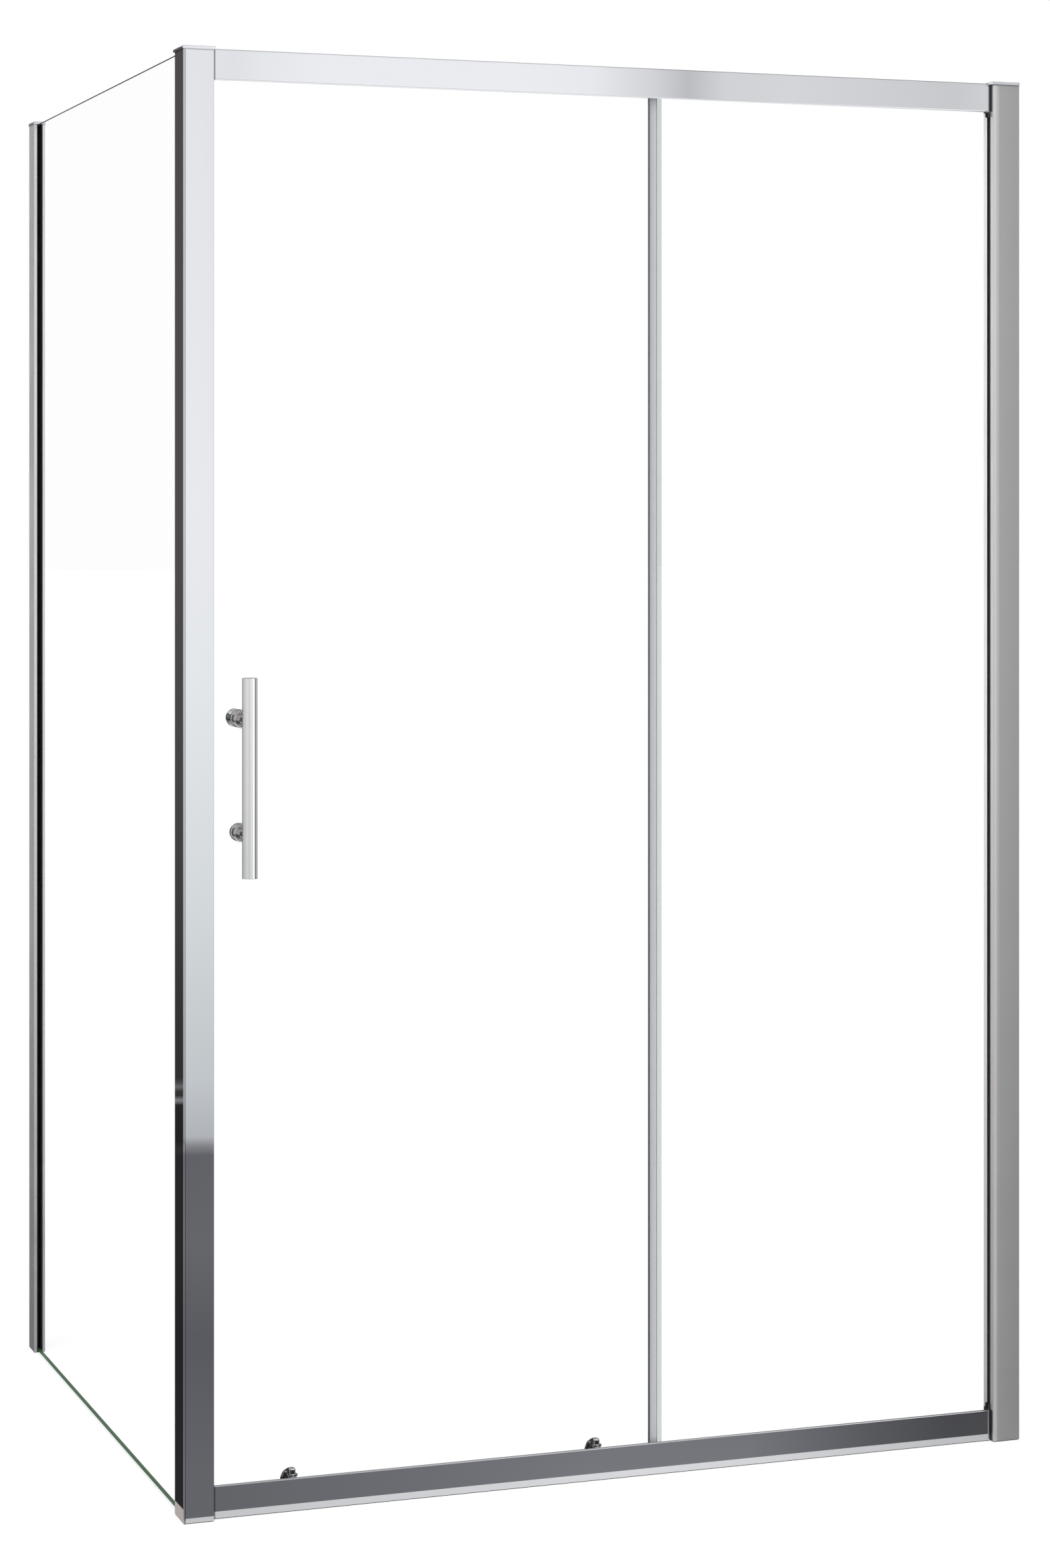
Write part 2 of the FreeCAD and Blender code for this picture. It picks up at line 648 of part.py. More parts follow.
def wall_post():
    """Extruded post at the front wall: open to the wall, with a slot for the fixed pane."""
    post_rear = front + d.wall_post_depth
    wall = d.post_wall
    outside = [
        (wall_post_left, front),
        (right, front),
        (right, front + wall),
        (wall_post_left + wall, front + wall),
        (wall_post_left + wall, wall_slot_front - wall),
        (wall_slot_floor + wall, wall_slot_front - wall),
        (wall_slot_floor + wall, wall_slot_back + wall),
        (wall_post_left + wall, wall_slot_back + wall),
        (wall_post_left + wall, post_rear - wall),
        (right, post_rear - wall),
        (right, post_rear),
        (wall_post_left, post_rear),
        (wall_post_left, wall_slot_back),
        (wall_slot_floor, wall_slot_back),
        (wall_slot_floor, wall_slot_front),
        (wall_post_left, wall_slot_front),
    ]
    body = extrusion("wall_post_profile", "XY", [outside], ZERO, profile_top)

    def front_edge(edge):
        at = edge.CenterOfMass
        return along_z(edge) and near(at.x, wall_post_left) and near(at.y, front)

    rounded(body, front_edge, d.post_wall / 2)
    screw_x = right - d.adjust_from_wall
    holes = [
        rod(
            f"wall_post_hole{k}",
            "+Y",
            (screw_x, post_rear - d.post_wall * 2, z),
            adjust_hole,
            d.post_wall * 3,
        )
        for k, z in enumerate(adjust_z)
    ]
    holes += [
        rod(f"wall_post_port{k}", "+X", (wall_post_left - wall, port_y, z), screw_hole, wall * 3)
        for k, z in enumerate((header_port_z,) + rail_port_z)
    ]
    keep(cut("wall_post_drilled", body, holes), "wall_post")


def wall_channel():
    """Channel on the front wall that the wall post slides over; four holes for wall screws."""
    channel_front = front + d.post_wall + d.nest_gap
    channel_back = front + d.wall_post_depth - d.post_wall - d.nest_gap
    legs_start = right - d.channel_leg
    base = d.channel_base
    base_start = right - base
    outline = [
        (legs_start, channel_front),
        (right, channel_front),
        (right, channel_back),
        (legs_start, channel_back),
        (legs_start, channel_back - d.channel_wall),
        (base_start, channel_back - d.channel_wall),
        (base_start, channel_front + d.channel_wall),
        (legs_start, channel_front + d.channel_wall),
    ]
    body = extrusion("front_wall_channel_profile", "XY", [outline], ZERO, channel_top)
    middle = (channel_front + channel_back) / 2
    holes = [
        rod(f"front_channel_hole{k}", "+X", (base_start - base, middle, z), d.wall_hole, base * 3)
        for k, z in enumerate(wall_hole_z)
    ]
    holes += [
        rod(
            f"front_channel_thread{k}",
            "+Y",
            (right - d.adjust_from_wall, channel_back - d.channel_wall * 2, z),
            adjust_hole,
            d.channel_wall * 3,
        )
        for k, z in enumerate(adjust_z)
    ]
    keep(cut("front_channel_drilled", body, holes), "front_wall_channel")


def side_wall_profiles():
    """Profile that holds the side pane at the wall, and the channel behind it."""
    wall = d.post_wall
    outline = [
        (left, side_profile_front),
        (side_slot_left, side_profile_front),
        (side_slot_left, side_slot_floor),
        (side_slot_right, side_slot_floor),
        (side_slot_right, side_profile_front),
        (side_profile_right, side_profile_front),
        (side_profile_right, back),
        (side_profile_right - wall, back),
        (side_profile_right - wall, side_slot_floor + wall),
        (left + wall, side_slot_floor + wall),
        (left + wall, back),
        (left, back),
    ]
    body = extrusion("side_wall_profile_profile", "XY", [outline], ZERO, profile_top)
    screw_y = back - d.adjust_from_wall
    holes = [
        rod(f"side_profile_hole{k}", "+X", (side_profile_right - wall * 2, screw_y, z), adjust_hole, wall * 3)
        for k, z in enumerate(adjust_z)
    ]
    keep(cut("side_profile_drilled", body, holes), "side_wall_profile")

    channel_left = left + wall + d.nest_gap
    channel_right = side_profile_right - wall - d.nest_gap
    base = d.channel_base
    base_front = back - base
    legs_front = back - d.channel_leg
    outline = [
        (channel_left, back),
        (channel_left, legs_front),
        (channel_left + d.channel_wall, legs_front),
        (channel_left + d.channel_wall, base_front),
        (channel_right - d.channel_wall, base_front),
        (channel_right - d.channel_wall, legs_front),
        (channel_right, legs_front),
        (channel_right, back),
    ]
    body = extrusion("side_wall_channel_profile", "XY", [outline], ZERO, channel_top)
    middle = (channel_left + channel_right) / 2
    holes = [
        rod(f"side_channel_hole{k}", "+Y", (middle, base_front - base, z), d.wall_hole, base * 3)
        for k, z in enumerate(wall_hole_z)
    ]
    holes += [
        rod(
            f"side_channel_thread{k}",
            "+X",
            (channel_right - d.channel_wall * 2, screw_y, z),
            adjust_hole,
            d.channel_wall * 3,
        )
        for k, z in enumerate(adjust_z)
    ]
    keep(cut("side_channel_drilled", body, holes), "side_wall_channel")


def adjusting_screws():
    """Screws that lock the wall post and the side profile to their channels, and their caps."""
    seats = {
        "front": ("-Y", lambda z: (right - d.adjust_from_wall, front + d.wall_post_depth, z)),
        "side": ("-X", lambda z: (side_profile_right, back - d.adjust_from_wall, z)),
    }
    reach = d.post_wall + d.nest_gap + d.channel_wall + d.adjust_radius / 2
    for side, (direction, seat) in seats.items():
        screws = []
        covers = []
        for k, z in enumerate(adjust_z):
            head = d.adjust_head_thickness
            outline = [
                (ZERO, -head),
                (d.adjust_head, -head),
                (d.adjust_head, ZERO),
                (d.adjust_radius, ZERO),
                (d.adjust_radius, reach),
                (ZERO, reach),
            ]
            screws.append(turned(f"{side}_adjust_screw{k}", direction, seat(z), outline))
            inside = d.cover_cap_radius - d.cover_cap_wall
            outline = [
                (ZERO, -d.cover_cap_height),
                (inside, -d.cover_cap_height),
                (d.cover_cap_radius, d.cover_cap_wall - d.cover_cap_height),
                (d.cover_cap_radius, ZERO),
                (inside, ZERO),
                (inside, d.cover_cap_wall - d.cover_cap_height),
                (ZERO, d.cover_cap_wall - d.cover_cap_height),
            ]
            covers.append(turned(f"{side}_adjust_cover{k}", direction, seat(z), outline))
        keep(group(f"{side}_adjust_screw_group", screws), f"{side}_adjust_screws")
        keep(group(f"{side}_adjust_cover_group", covers), f"{side}_adjust_covers")


# ---------------------------------------------------------------- rails

header_port_z = header_ceiling - d.port_size / 2
rail_port_z = (d.rail_wall + d.port_size / 2, deck_bottom - d.port_size / 2)
port_y = rib_back + d.glazing_rib + d.port_size / 2
header_port_y = (port_y, port_y + d.port_spacing)


def header():
    """Top rail: open below, with the glazing rib, the wheels' track and two screw ports."""
    rear_inside = header_back - d.rail_wall
    bead = (top_wheel_middle - d.bead_width / 2, top_wheel_middle + d.bead_width / 2)
    lip_top = profile_top + d.header_lip
    port_bottom = header_ceiling - d.port_size
    ports = []
    for y in header_port_y:
        near_side = y - d.port_size / 2
        far_side = y + d.port_size / 2
        ports += [
            (near_side, header_ceiling),
            (near_side, port_bottom),
            (far_side, port_bottom),
            (far_side, header_ceiling),
        ]
    outline = [
        (rails_front, header_bottom),
        (rails_front + d.rail_wall, header_bottom),
        (rails_front + d.rail_wall, header_ceiling),
        (rib_front, header_ceiling),
        (rib_front, header_ceiling - d.header_rib_height),
        (rib_back, header_ceiling - d.header_rib_height),
        (rib_back, header_ceiling),
        *ports,
        (rear_inside, header_ceiling),
        (rear_inside, track_top),
        (bead[1], track_top),
        (bead[1], bead_top),
        (bead[0], bead_top),
        (bead[0], track_top),
        (header_back - d.track_reach, track_top),
        (header_back - d.track_reach, track_bottom),
        (header_back, track_bottom),
        (header_back, profile_top),
        (rails_front + d.header_lip, profile_top),
        (rails_front + d.header_lip, lip_top),
        (rails_front, lip_top),
    ]
    circles = [(y, header_port_z, screw_hole) for y in header_port_y]
    body = extrusion("header_section", "YZ", [outline], rails_start, rails_end, circles)

    def lower_front(edge):
        at = edge.CenterOfMass
        return along_x(edge) and near(at.y, rails_front) and near(at.z, header_bottom)

    rounded(body, lower_front, d.rail_wall * EDGE_SHARE)
    cap_clear = d.cap_overhang + d.fit_gap * 2
    under_caps = [
        box(
            f"header_lip_end{k}",
            span,
            (rails_front - d.fit_gap, rails_front + d.header_lip + d.fit_gap),
            (profile_top, lip_top + d.fit_gap),
        )
        for k, span in enumerate(
            ((rails_start, post_right + cap_clear), (wall_post_left - cap_clear, rails_end))
        )
    ]
    keep(cut("header_under_caps", body, under_caps), "header_rail")

    end_cap = box(
        "header_end_cap",
        (rails_end, rails_end + d.end_cap_thickness),
        (front + d.wall_post_depth + d.plug_gap, header_back),
        (track_bottom, profile_top),
    )
    keep(end_cap, "header_end_cap")


def bottom_rail():
    """Bottom rail: front wall, closed box, glazing rib, and a lip whose bead holds the wheels down."""
    box_rear = rail_box_back - d.rail_wall
    outline = [
        (rails_front, ZERO),
        (rail_box_back, ZERO),
        (rail_box_back, deck_bottom),
        (lip_back - d.bead_width, deck_bottom),
        (lip_back - d.bead_width, hook_bottom),
        (lip_back, hook_bottom),
        (lip_back, d.deck_height),
        (rib_back, d.deck_height),
        (rib_back, d.deck_height + d.rail_rib_height),
        (rib_front, d.deck_height + d.rail_rib_height),
        (rib_front, d.deck_height),
        (rails_front + d.rail_wall, d.deck_height),
        (rails_front + d.rail_wall, d.rail_height),
        (rails_front, d.rail_height),
    ]
    port_front = port_y - d.port_size / 2
    port_rear = port_y + d.port_size / 2
    low_port_top = d.rail_wall + d.port_size
    high_port_bottom = deck_bottom - d.port_size
    inside = [
        (rails_front + d.rail_wall, d.rail_wall),
        (port_front, d.rail_wall),
        (port_front, low_port_top),
        (port_rear, low_port_top),
        (port_rear, d.rail_wall),
        (box_rear, d.rail_wall),
        (box_rear, deck_bottom),
        (port_rear, deck_bottom),
        (port_rear, high_port_bottom),
        (port_front, high_port_bottom),
        (port_front, deck_bottom),
        (rails_front + d.rail_wall, deck_bottom),
    ]
    circles = [(port_y, z, screw_hole) for z in rail_port_z]
    body = extrusion("bottom_rail", "YZ", [outline, inside], rails_start, rails_end, circles)

    def upper_front(edge):
        at = edge.CenterOfMass
        return along_x(edge) and near(at.y, rails_front) and near(at.z, d.rail_height)

    rounded(body, upper_front, d.rail_wall * EDGE_SHARE)
    keep(body, "bottom_rail")


def rail_screws():
    """Screws that join the rails' ends to the posts."""
    outline = [
        (ZERO, -d.screw_head_thickness),
        (d.screw_head, -d.screw_head_thickness),
        (d.screw_head, ZERO),
        (d.screw_radius, ZERO),
        (d.screw_radius, d.screw_length),
        (ZERO, d.screw_length),
    ]
    left_end = ("+X", post_right - d.post_wall)
    right_end = ("-X", wall_post_left + d.post_wall)
    high = [(left_end, y, header_port_z) for y in header_port_y] + [(right_end, port_y, header_port_z)]
    low = [(end, port_y, z) for end in (left_end, right_end) for z in rail_port_z]
    for label, places in (("header_screws", high), ("rail_screws", low)):
        screws = [
            turned(f"{label}_{k}", direction, (x, y, z), outline)
            for k, ((direction, x), y, z) in enumerate(places)
        ]
        keep(group(f"{label}_group", screws), label)


def header_stops():
    """Rubber stops on the track, one past each end of the hangers' travel."""
    left_end = roller_x["left"] - d.hanger_half_length - d.stop_gap
    right_end = roller_x["right"] + d.hanger_half_length + d.door_travel + d.stop_gap
    spans = {"left": (left_end - d.stop_length, left_end), "right": (right_end, right_end + d.stop_length)}
    for side, span in spans.items():
        block = box(
            f"header_stop_{side}_block",
            span,
            (inner_seat, header_back - d.rail_wall),
            (track_top, top_axle_z + d.top_wheel_radius / 2),
        )
        bead = box(
            f"header_stop_{side}_bead",
            span,
            (top_wheel_middle - d.bead_width / 2, top_wheel_middle + d.bead_width / 2),
            (track_top, bead_top),
        )
        keep(cut(f"header_stop_{side}_cut", block, [bead]), f"header_stop_{side}")


# ---------------------------------------------------------------- panes and seals

def fixed_pane():
    """Fixed pane, its gasket in the wall post, its blocks and the seal on its free edge."""
    glass_right = wall_post_left + d.slot_depth
    glass_bottom = d.deck_height + d.setting_block
    glass_top = header_ceiling - d.fixed_glass_top_gap
    keep(
        box("fixed_glass", (fixed_left, glass_right), (fixed_front, fixed_back), (glass_bottom, glass_top)),
        "fixed_glass",
    )
    blocks = [
        box(
            f"setting_block{k}",
            (x, x + d.setting_block_length),
            (rails_front + d.rail_wall + d.fit_gap, rib_front - d.fit_gap),
            (d.deck_height, glass_bottom),
        )
        for k, x in enumerate(
            (
                fixed_left + d.setting_block_inset,
                wall_post_left - d.setting_block_inset - d.setting_block_length,
            )
        )
    ]
    keep(group("setting_block_group", blocks), "fixed_glass_setting_blocks")

    def wrap(name, start, low, high):
        """U-section round the pane's edge, in the wall post's slot."""
        outline = [
            (start, wall_slot_front),
            (glass_right + d.gasket_base, wall_slot_front),
            (glass_right + d.gasket_base, wall_slot_back),
            (start, wall_slot_back),
            (start, fixed_back),
            (glass_right, fixed_back),
            (glass_right, fixed_front),
            (start, fixed_front),
        ]
        return extrusion(name, "XY", [outline], low, high)

    gasket_low = d.rail_height + d.end_block_bottom
    gasket_high = header_bottom - d.end_block_top
    keep(
        wrap("fixed_glass_gasket", wall_post_left - d.gasket_proud, gasket_low, gasket_high),
        "fixed_glass_gasket",
    )
    block_start = wall_post_left - d.gasket_proud * 8
    blocks = [
        wrap("fixed_end_block_low", block_start, d.rail_height, gasket_low),
        wrap("fixed_end_block_high", block_start, gasket_high, header_bottom),
    ]
    keep(group("fixed_end_block_group", blocks), "fixed_glass_end_blocks")

    strip_left = fixed_left + d.fixed_seal_start
    strip_right = strip_left + d.fixed_seal_width
    fin_back = door_front - d.fixed_seal_clear
    outline = [
        (strip_left, fixed_back),
        (strip_right, fixed_back),
        (strip_right, fixed_back + d.fixed_seal_base),
        (strip_left + d.fixed_seal_fin, fixed_back + d.fixed_seal_base),
        (strip_left + d.fixed_seal_fin, fin_back),
        (strip_left, fin_back),
    ]
    seal_low = d.roller_bolt_height + d.roller_cap_radius + d.fit_gap * 10
    seal_high = hanger_z - d.front_cap_radius - d.fit_gap * 10
    keep(extrusion("fixed_edge_seal", "XY", [outline], seal_low, seal_high), "fixed_edge_seal")


def door_pane():
    """Door's pane with its holes and bottom notches, and the seals on its two upright edges."""
    blank = box("door_glass_blank", (door_left, door_right), (door_front, door_back), (door_bottom, door_top))
    bolt_z = d.roller_bolt_height + ZERO
    through = (door_front - d.glass_thickness, door_back + d.glass_thickness)
    holes = [(x, z, d.glass_hole) for x in roller_x.values() for z in (hanger_z, bolt_z)]
    holes += [(handle_x, z, d.stud_radius + d.stud_clear) for z in fixing_z.values()]
    openings = [
        rod(f"door_glass_hole{k}", "+Y", (x, through[0], z), radius, through[1] - through[0])
        for k, (x, z, radius) in enumerate(holes)
    ]
    for side, x in roller_x.items():
        notch_span = (x - d.glass_hole, x + d.glass_hole)
        notch = box(f"door_glass_notch_{side}", notch_span, through, (door_bottom - d.glass_hole, bolt_z))
        openings.append(notch)
    keep(cut("door_glass_drilled", blank, openings), "door_glass")

    seal_low = d.deck_height + d.rail_rib_height + d.fit_gap * 10
    seal_high = track_bottom - d.fit_gap * 10
    grip_right = door_left + d.leading_seal_grip
    tip = post_right + d.leading_seal_clear
    outer = (door_front - d.seal_leg, door_back + d.seal_leg)
    middle = (door_front + door_back) / 2
    outline = [
        (grip_right, outer[0]),
        (grip_right, door_front),
        (door_left, door_front),
        (door_left, door_back),
        (grip_right, door_back),
        (grip_right, outer[1]),
        (door_left - d.seal_leg, outer[1]),
        (tip + d.seal_leg, middle + d.glass_thickness / 3),
        (tip, middle),
        (tip + d.seal_leg, middle - d.glass_thickness / 3),
        (door_left - d.seal_leg, outer[0]),
    ]
    keep(extrusion("door_leading_seal", "XY", [outline], seal_low, seal_high), "door_leading_seal")

    grip_left = door_right - d.edge_seal_grip
    end = door_right + d.edge_seal_reach
    fin_front = fixed_back + d.edge_seal_clear
    outline = [
        (grip_left, outer[0]),
        (end - d.seal_leg * 1.5, outer[0]),
        (end - d.seal_leg * 1.5, fin_front),
        (end, fin_front),
        (end, outer[1]),
        (grip_left, outer[1]),
        (grip_left, door_back),
        (door_right, door_back),
        (door_right, door_front),
        (grip_left, door_front),
    ]
    keep(extrusion("door_edge_seal", "XY", [outline], seal_low, seal_high), "door_edge_seal")


def side_pane():
    """Side pane, and the gaskets that grip its two upright edges."""
    glass_front = post_back - d.slot_depth
    glass_back = side_profile_front + d.slot_depth
    glass_top = profile_top - d.side_glass_drop
    keep(
        box(
            "side_glass",
            (side_glass_left, side_glass_right),
            (glass_front, glass_back),
            (d.side_glass_lift + ZERO, glass_top),
        ),
        "side_glass",
    )

    def wrap(name, edge, mouth, outward):
        """U-section round one upright edge of the pane; outward is +1 or -1 along Y."""
        base = edge + d.gasket_base * outward
        outline = [
            (side_slot_left, mouth),
            (side_slot_left, base),
            (side_slot_right, base),
            (side_slot_right, mouth),
            (side_glass_right, mouth),
            (side_glass_right, edge),
            (side_glass_left, edge),
            (side_glass_left, mouth),
        ]
        return keep(extrusion(name, "XY", [outline], d.side_glass_lift + ZERO, glass_top), name)

    wrap("side_glass_post_gasket", glass_front, post_back + d.gasket_proud, -1)
    wrap("side_glass_wall_gasket", glass_back, side_profile_front - d.gasket_proud, 1)


# ---------------------------------------------------------------- the door's rollers

def wheel(name, x, y, z, radius, width, groove, bore):
    """Grooved wheel on an axis along Y; y is its front face."""
    shoulder = (width - d.groove_width) / 2
    root = radius - groove
    outline = [
        (bore, ZERO),
        (radius, ZERO),
        (radius, shoulder),
        (root, shoulder),
        (root, shoulder + d.groove_width),
        (radius, shoulder + d.groove_width),
        (radius, width),
        (bore, width),
    ]
    return keep(turned(f"{name}_turned", "+Y", (x, y, z), outline), name)


def washer(name, x, y, z, radius, bore):
    """Soft washer between the glass and a fitting; y is its front face."""
    outline = [(bore, ZERO), (radius, ZERO), (radius, d.washer), (bore, d.washer)]
    return turned(name, "+Y", (x, y, z), outline)


def bolt_with_cap(name, x, z, radius, end):
    """Flat domed cap on the door's outside, with the bolt that goes through the glass."""
    thick = d.front_cap_thickness
    outline = [
        (ZERO, ZERO),
        (radius - thick / 2, ZERO),
        (radius, thick / 2),
        (radius, thick),
        (d.bolt_radius, thick),
        (d.bolt_radius, end - cap_front),
        (ZERO, end - cap_front),
    ]
    return turned(name, "+Y", (x, cap_front, z), outline)


def hangers():
    """Top rollers: a plate behind the glass, two wheels on axles, a bolt with a cap in front."""
    axles = []
    caps_made = []
    washers = []
    wheel_x = {"a": -d.wheel_spacing / 2, "b": d.wheel_spacing / 2}
    for side, x in roller_x.items():
        bottom = hanger_z - d.hanger_below
        top = hanger_z + d.hanger_above
        plate = box(
            f"hanger_{side}_plate",
            (x - d.hanger_half_length, x + d.hanger_half_length),
            (inner_seat, plate_back),
            (bottom, top),
        )
        plate = rounded_solid(
            f"hanger_{side}_corners",
            plate,
            lambda edge: abs(edge.BoundBox.YLength - edge.Length) < 0.001,
            d.hanger_corner,
        )
        holes = [
            rod(
                f"hanger_{side}_hole_{letter}",
                "+Y",
                (x + offset, inner_seat - d.hanger_plate, top_axle_z),
                d.axle_radius + d.fit_gap / 2,
                d.hanger_plate * 3,
            )
            for letter, offset in wheel_x.items()
        ]
        holes.append(
            rod(
                f"hanger_{side}_bolt_hole",
                "+Y",
                (x, inner_seat - d.hanger_plate, hanger_z),
                d.bolt_radius + d.fit_gap,
                d.hanger_plate * 3,
            )
        )
        keep(cut(f"hanger_{side}_drilled", plate, holes), f"hanger_{side}")
        for letter, offset in wheel_x.items():
            head_start = top_wheel_back + d.wheel_side_gap - plate_back
            outline = [
                (ZERO, d.fit_gap - d.hanger_plate),
                (d.axle_radius, d.fit_gap - d.hanger_plate),
                (d.axle_radius, ZERO),
                (d.axle_head, ZERO),
                (d.axle_head, d.collar_length),
                (d.axle_radius, d.collar_length),
                (d.axle_radius, head_start),
                (d.axle_head, head_start),
                (d.axle_head, head_start + d.axle_head_thickness),
                (ZERO, head_start + d.axle_head_thickness),
            ]
            start = (x + offset, plate_back, top_axle_z)
            axles.append(turned(f"axle_{side}_{letter}", "+Y", start, outline))
            wheel(
                f"top_wheel_{side}_{letter}",
                x + offset,
                top_wheel_front,
                top_axle_z,
                d.top_wheel_radius,
                d.top_wheel_width,
                d.groove_depth,
                d.axle_radius + d.axle_gap,
            )
        caps_made.append(bolt_with_cap(f"hanger_cap_{side}", x, hanger_z, d.front_cap_radius, plate_back))
        for place_name, y in (("outer", door_front - d.washer), ("inner", door_back)):
            name = f"hanger_washer_{side}_{place_name}"
            washers.append(washer(name, x, y, hanger_z, d.hanger_below, d.bolt_radius + d.fit_gap))
    keep(group("hanger_axle_group", axles), "hanger_axles")
    keep(group("hanger_cap_group", caps_made), "hanger_front_caps")
    keep(group("hanger_washer_group", washers), "hanger_washers")


def release_rollers():
    """Bottom rollers: housing on the glass, sprung button and plunger, wheel under the rail's lip."""
    caps_made = []
    washers = []
    bolt_z = d.roller_bolt_height + ZERO
    bolt_end = plunger_y - d.button_radius - d.button_gap - d.fit_gap * 3
    for side, x in roller_x.items():
        # Housing: flange on the glass, cup for the button, hood over the wheel.
        flange = rod(
            f"housing_{side}_flange",
            "+Y",
            (x, inner_seat, bolt_z),
            d.roller_flange,
            d.roller_flange_thickness,
        )
        cup_height = d.cup_top - cup_bottom
        cup = rod(f"housing_{side}_cup", "+Z", (x, plunger_y, cup_bottom), d.cup_radius, cup_height)
        collar = rod(
            f"housing_{side}_collar",
            "+Z",
            (x, plunger_y, d.cup_top - d.cup_collar_thickness),
            d.cup_collar,
            d.cup_collar_thickness,
        )
        bridge = box(
            f"housing_{side}_bridge",
            (x - d.arm_half_width, x + d.arm_half_width),
            (inner_seat, hood_back),
            (cup_bottom, d.cup_top - d.cup_collar_thickness),
        )
        face_radius = d.hood_radius - d.hood_rim
        hood = turned(
            f"housing_{side}_hood",
            "+Y",
            (x, hood_front, d.hood_height + ZERO),
            [
                (ZERO, d.hood_recess),
                (face_radius, d.hood_recess),
                (face_radius, ZERO),
                (d.hood_radius, ZERO),
                (d.hood_radius, d.hood_thickness / 2),
                (d.hood_radius - d.hood_thickness / 2, d.hood_thickness),
                (ZERO, d.hood_thickness),
            ],
        )
        open_side = box(
            f"housing_{side}_open_side",
            (x + d.arm_half_width, x + d.hood_radius + d.fit_gap),
            (hood_front - d.fit_gap, hood_back + d.fit_gap),
            (bolt_z, d.hood_height + d.hood_radius + d.fit_gap),
        )
        hood = cut(f"housing_{side}_half_hood", hood, [open_side])
        solid = join(f"housing_{side}_solid", [flange, cup, collar, bridge, hood])
        bore = rod(
            f"housing_{side}_bore",
            "+Z",
            (x, plunger_y, cup_floor_top),
            d.button_radius + d.button_gap,
            d.cup_top,
        )
        rod_hole = rod(
            f"housing_{side}_rod_hole",
            "+Z",
            (x, plunger_y, cup_bottom - d.cup_floor),
            d.plunger_radius + d.fit_gap,
            d.cup_floor * 4,
        )
        bolt_hole = rod(
            f"housing_{side}_bolt_hole",
            "+Y",
            (x, inner_seat - d.washer, bolt_z),
            d.bolt_radius + d.fit_gap,
            bolt_end - inner_seat + d.washer + d.fit_gap,
        )
        keep(cut(f"housing_{side}_cut", solid, [bore, rod_hole, bolt_hole]), f"roller_housing_{side}")

        # Button on the plunger's end.
        button = turned(
            f"button_{side}",
            "+Z",
            (x, plunger_y, button_bottom),
            [
                (d.plunger_radius + d.fit_gap / 2, ZERO),
                (d.button_radius, ZERO),
                (d.button_radius, d.button_top - button_bottom),
                (ZERO, d.button_top - button_bottom),
                (ZERO, d.button_in_cup * 3),
                (d.plunger_radius + d.fit_gap / 2, d.button_in_cup * 3),
            ],
        )

        def top_rim(edge):
            """The rim of the button's top, in the body's own frame, where it is turned about Y."""
            return near(edge.CenterOfMass.y, d.button_top - button_bottom) and edge.BoundBox.YLength < 0.01

        rounded(button, top_rim, d.button_round)
        keep(button, f"release_button_{side}")

        # Plunger: rod, arm behind the lip's edge, tongue and the wheel's pin.
        rod_piece = rod(
            f"plunger_{side}_rod",
            "+Z",
            (x, plunger_y, arm_bottom),
            d.plunger_radius,
            button_bottom + d.button_in_cup * 3 - d.fit_gap - arm_bottom,
        )
        arm = box(
            f"plunger_{side}_arm",
            (x - d.arm_half_width, x + d.arm_half_width),
            (plunger_y - d.plunger_radius, tongue_back),
            (arm_bottom, arm_top),
        )
        tongue = box(
            f"plunger_{side}_tongue",
            (x - d.arm_half_width, x + d.arm_half_width),
            (tongue_front, tongue_back),
            (bottom_axle_z - d.arm_half_width, arm_top),
        )
        pin_front = bottom_wheel_front - d.wheel_side_gap
        pin_length = tongue_front - pin_front
        pin = rod(f"plunger_{side}_pin", "+Y", (x, pin_front, bottom_axle_z), d.pin_radius, pin_length)
        pin_head = rod(
            f"plunger_{side}_pin_head",
            "+Y",
            (x, pin_front - d.pin_head_thickness, bottom_axle_z),
            d.pin_head,
            d.pin_head_thickness,
        )
        plunger = join(f"plunger_{side}_joined", [rod_piece, arm, tongue, pin, pin_head])
        keep(plunger, f"release_plunger_{side}")

        wheel(
            f"bottom_wheel_{side}",
            x,
            bottom_wheel_front,
            bottom_axle_z,
            d.bottom_wheel_radius,
            d.bottom_wheel_width,
            d.bottom_groove,
            d.pin_radius + d.axle_gap,
        )
        release_spring(side, x)
        caps_made.append(bolt_with_cap(f"roller_cap_{side}", x, bolt_z, d.roller_cap_radius, bolt_end))
        for place_name, y in (("outer", door_front - d.washer), ("inner", door_back)):
            name = f"roller_washer_{side}_{place_name}"
            washers.append(washer(name, x, y, bolt_z, d.roller_cap_radius, d.bolt_radius + d.fit_gap))
    keep(group("roller_cap_group", caps_made), "roller_front_caps")
    keep(group("roller_washer_group", washers), "roller_washers")


def release_spring(side, x):
    """Coil spring between the cup's floor and the button."""
    wire = d.spring_wire.value / 2
    room = (button_bottom - cup_floor_top).value - 2 * d.fit_gap.value
    mean = (d.plunger_radius.value + d.button_radius.value + d.button_gap.value) / 2
    pitch = (room - 2 * wire) / d.spring_turns.value
    helix = Part.makeHelix(pitch, room - 2 * wire, mean)
    profile = Part.Wire([Part.makeCircle(wire, V(mean, 0, 0), V(0, 1, 0))])
    obj = doc.addObject("Part::Feature", f"release_spring_{side}_coil")
    obj.Shape = Part.Wire(helix).makePipeShell([profile], True, True)
    base = (x, plunger_y, cup_floor_top + d.fit_gap + d.spring_wire / 2)
    keep(place(obj, base), f"release_spring_{side}")


# ---------------------------------------------------------------- the handle

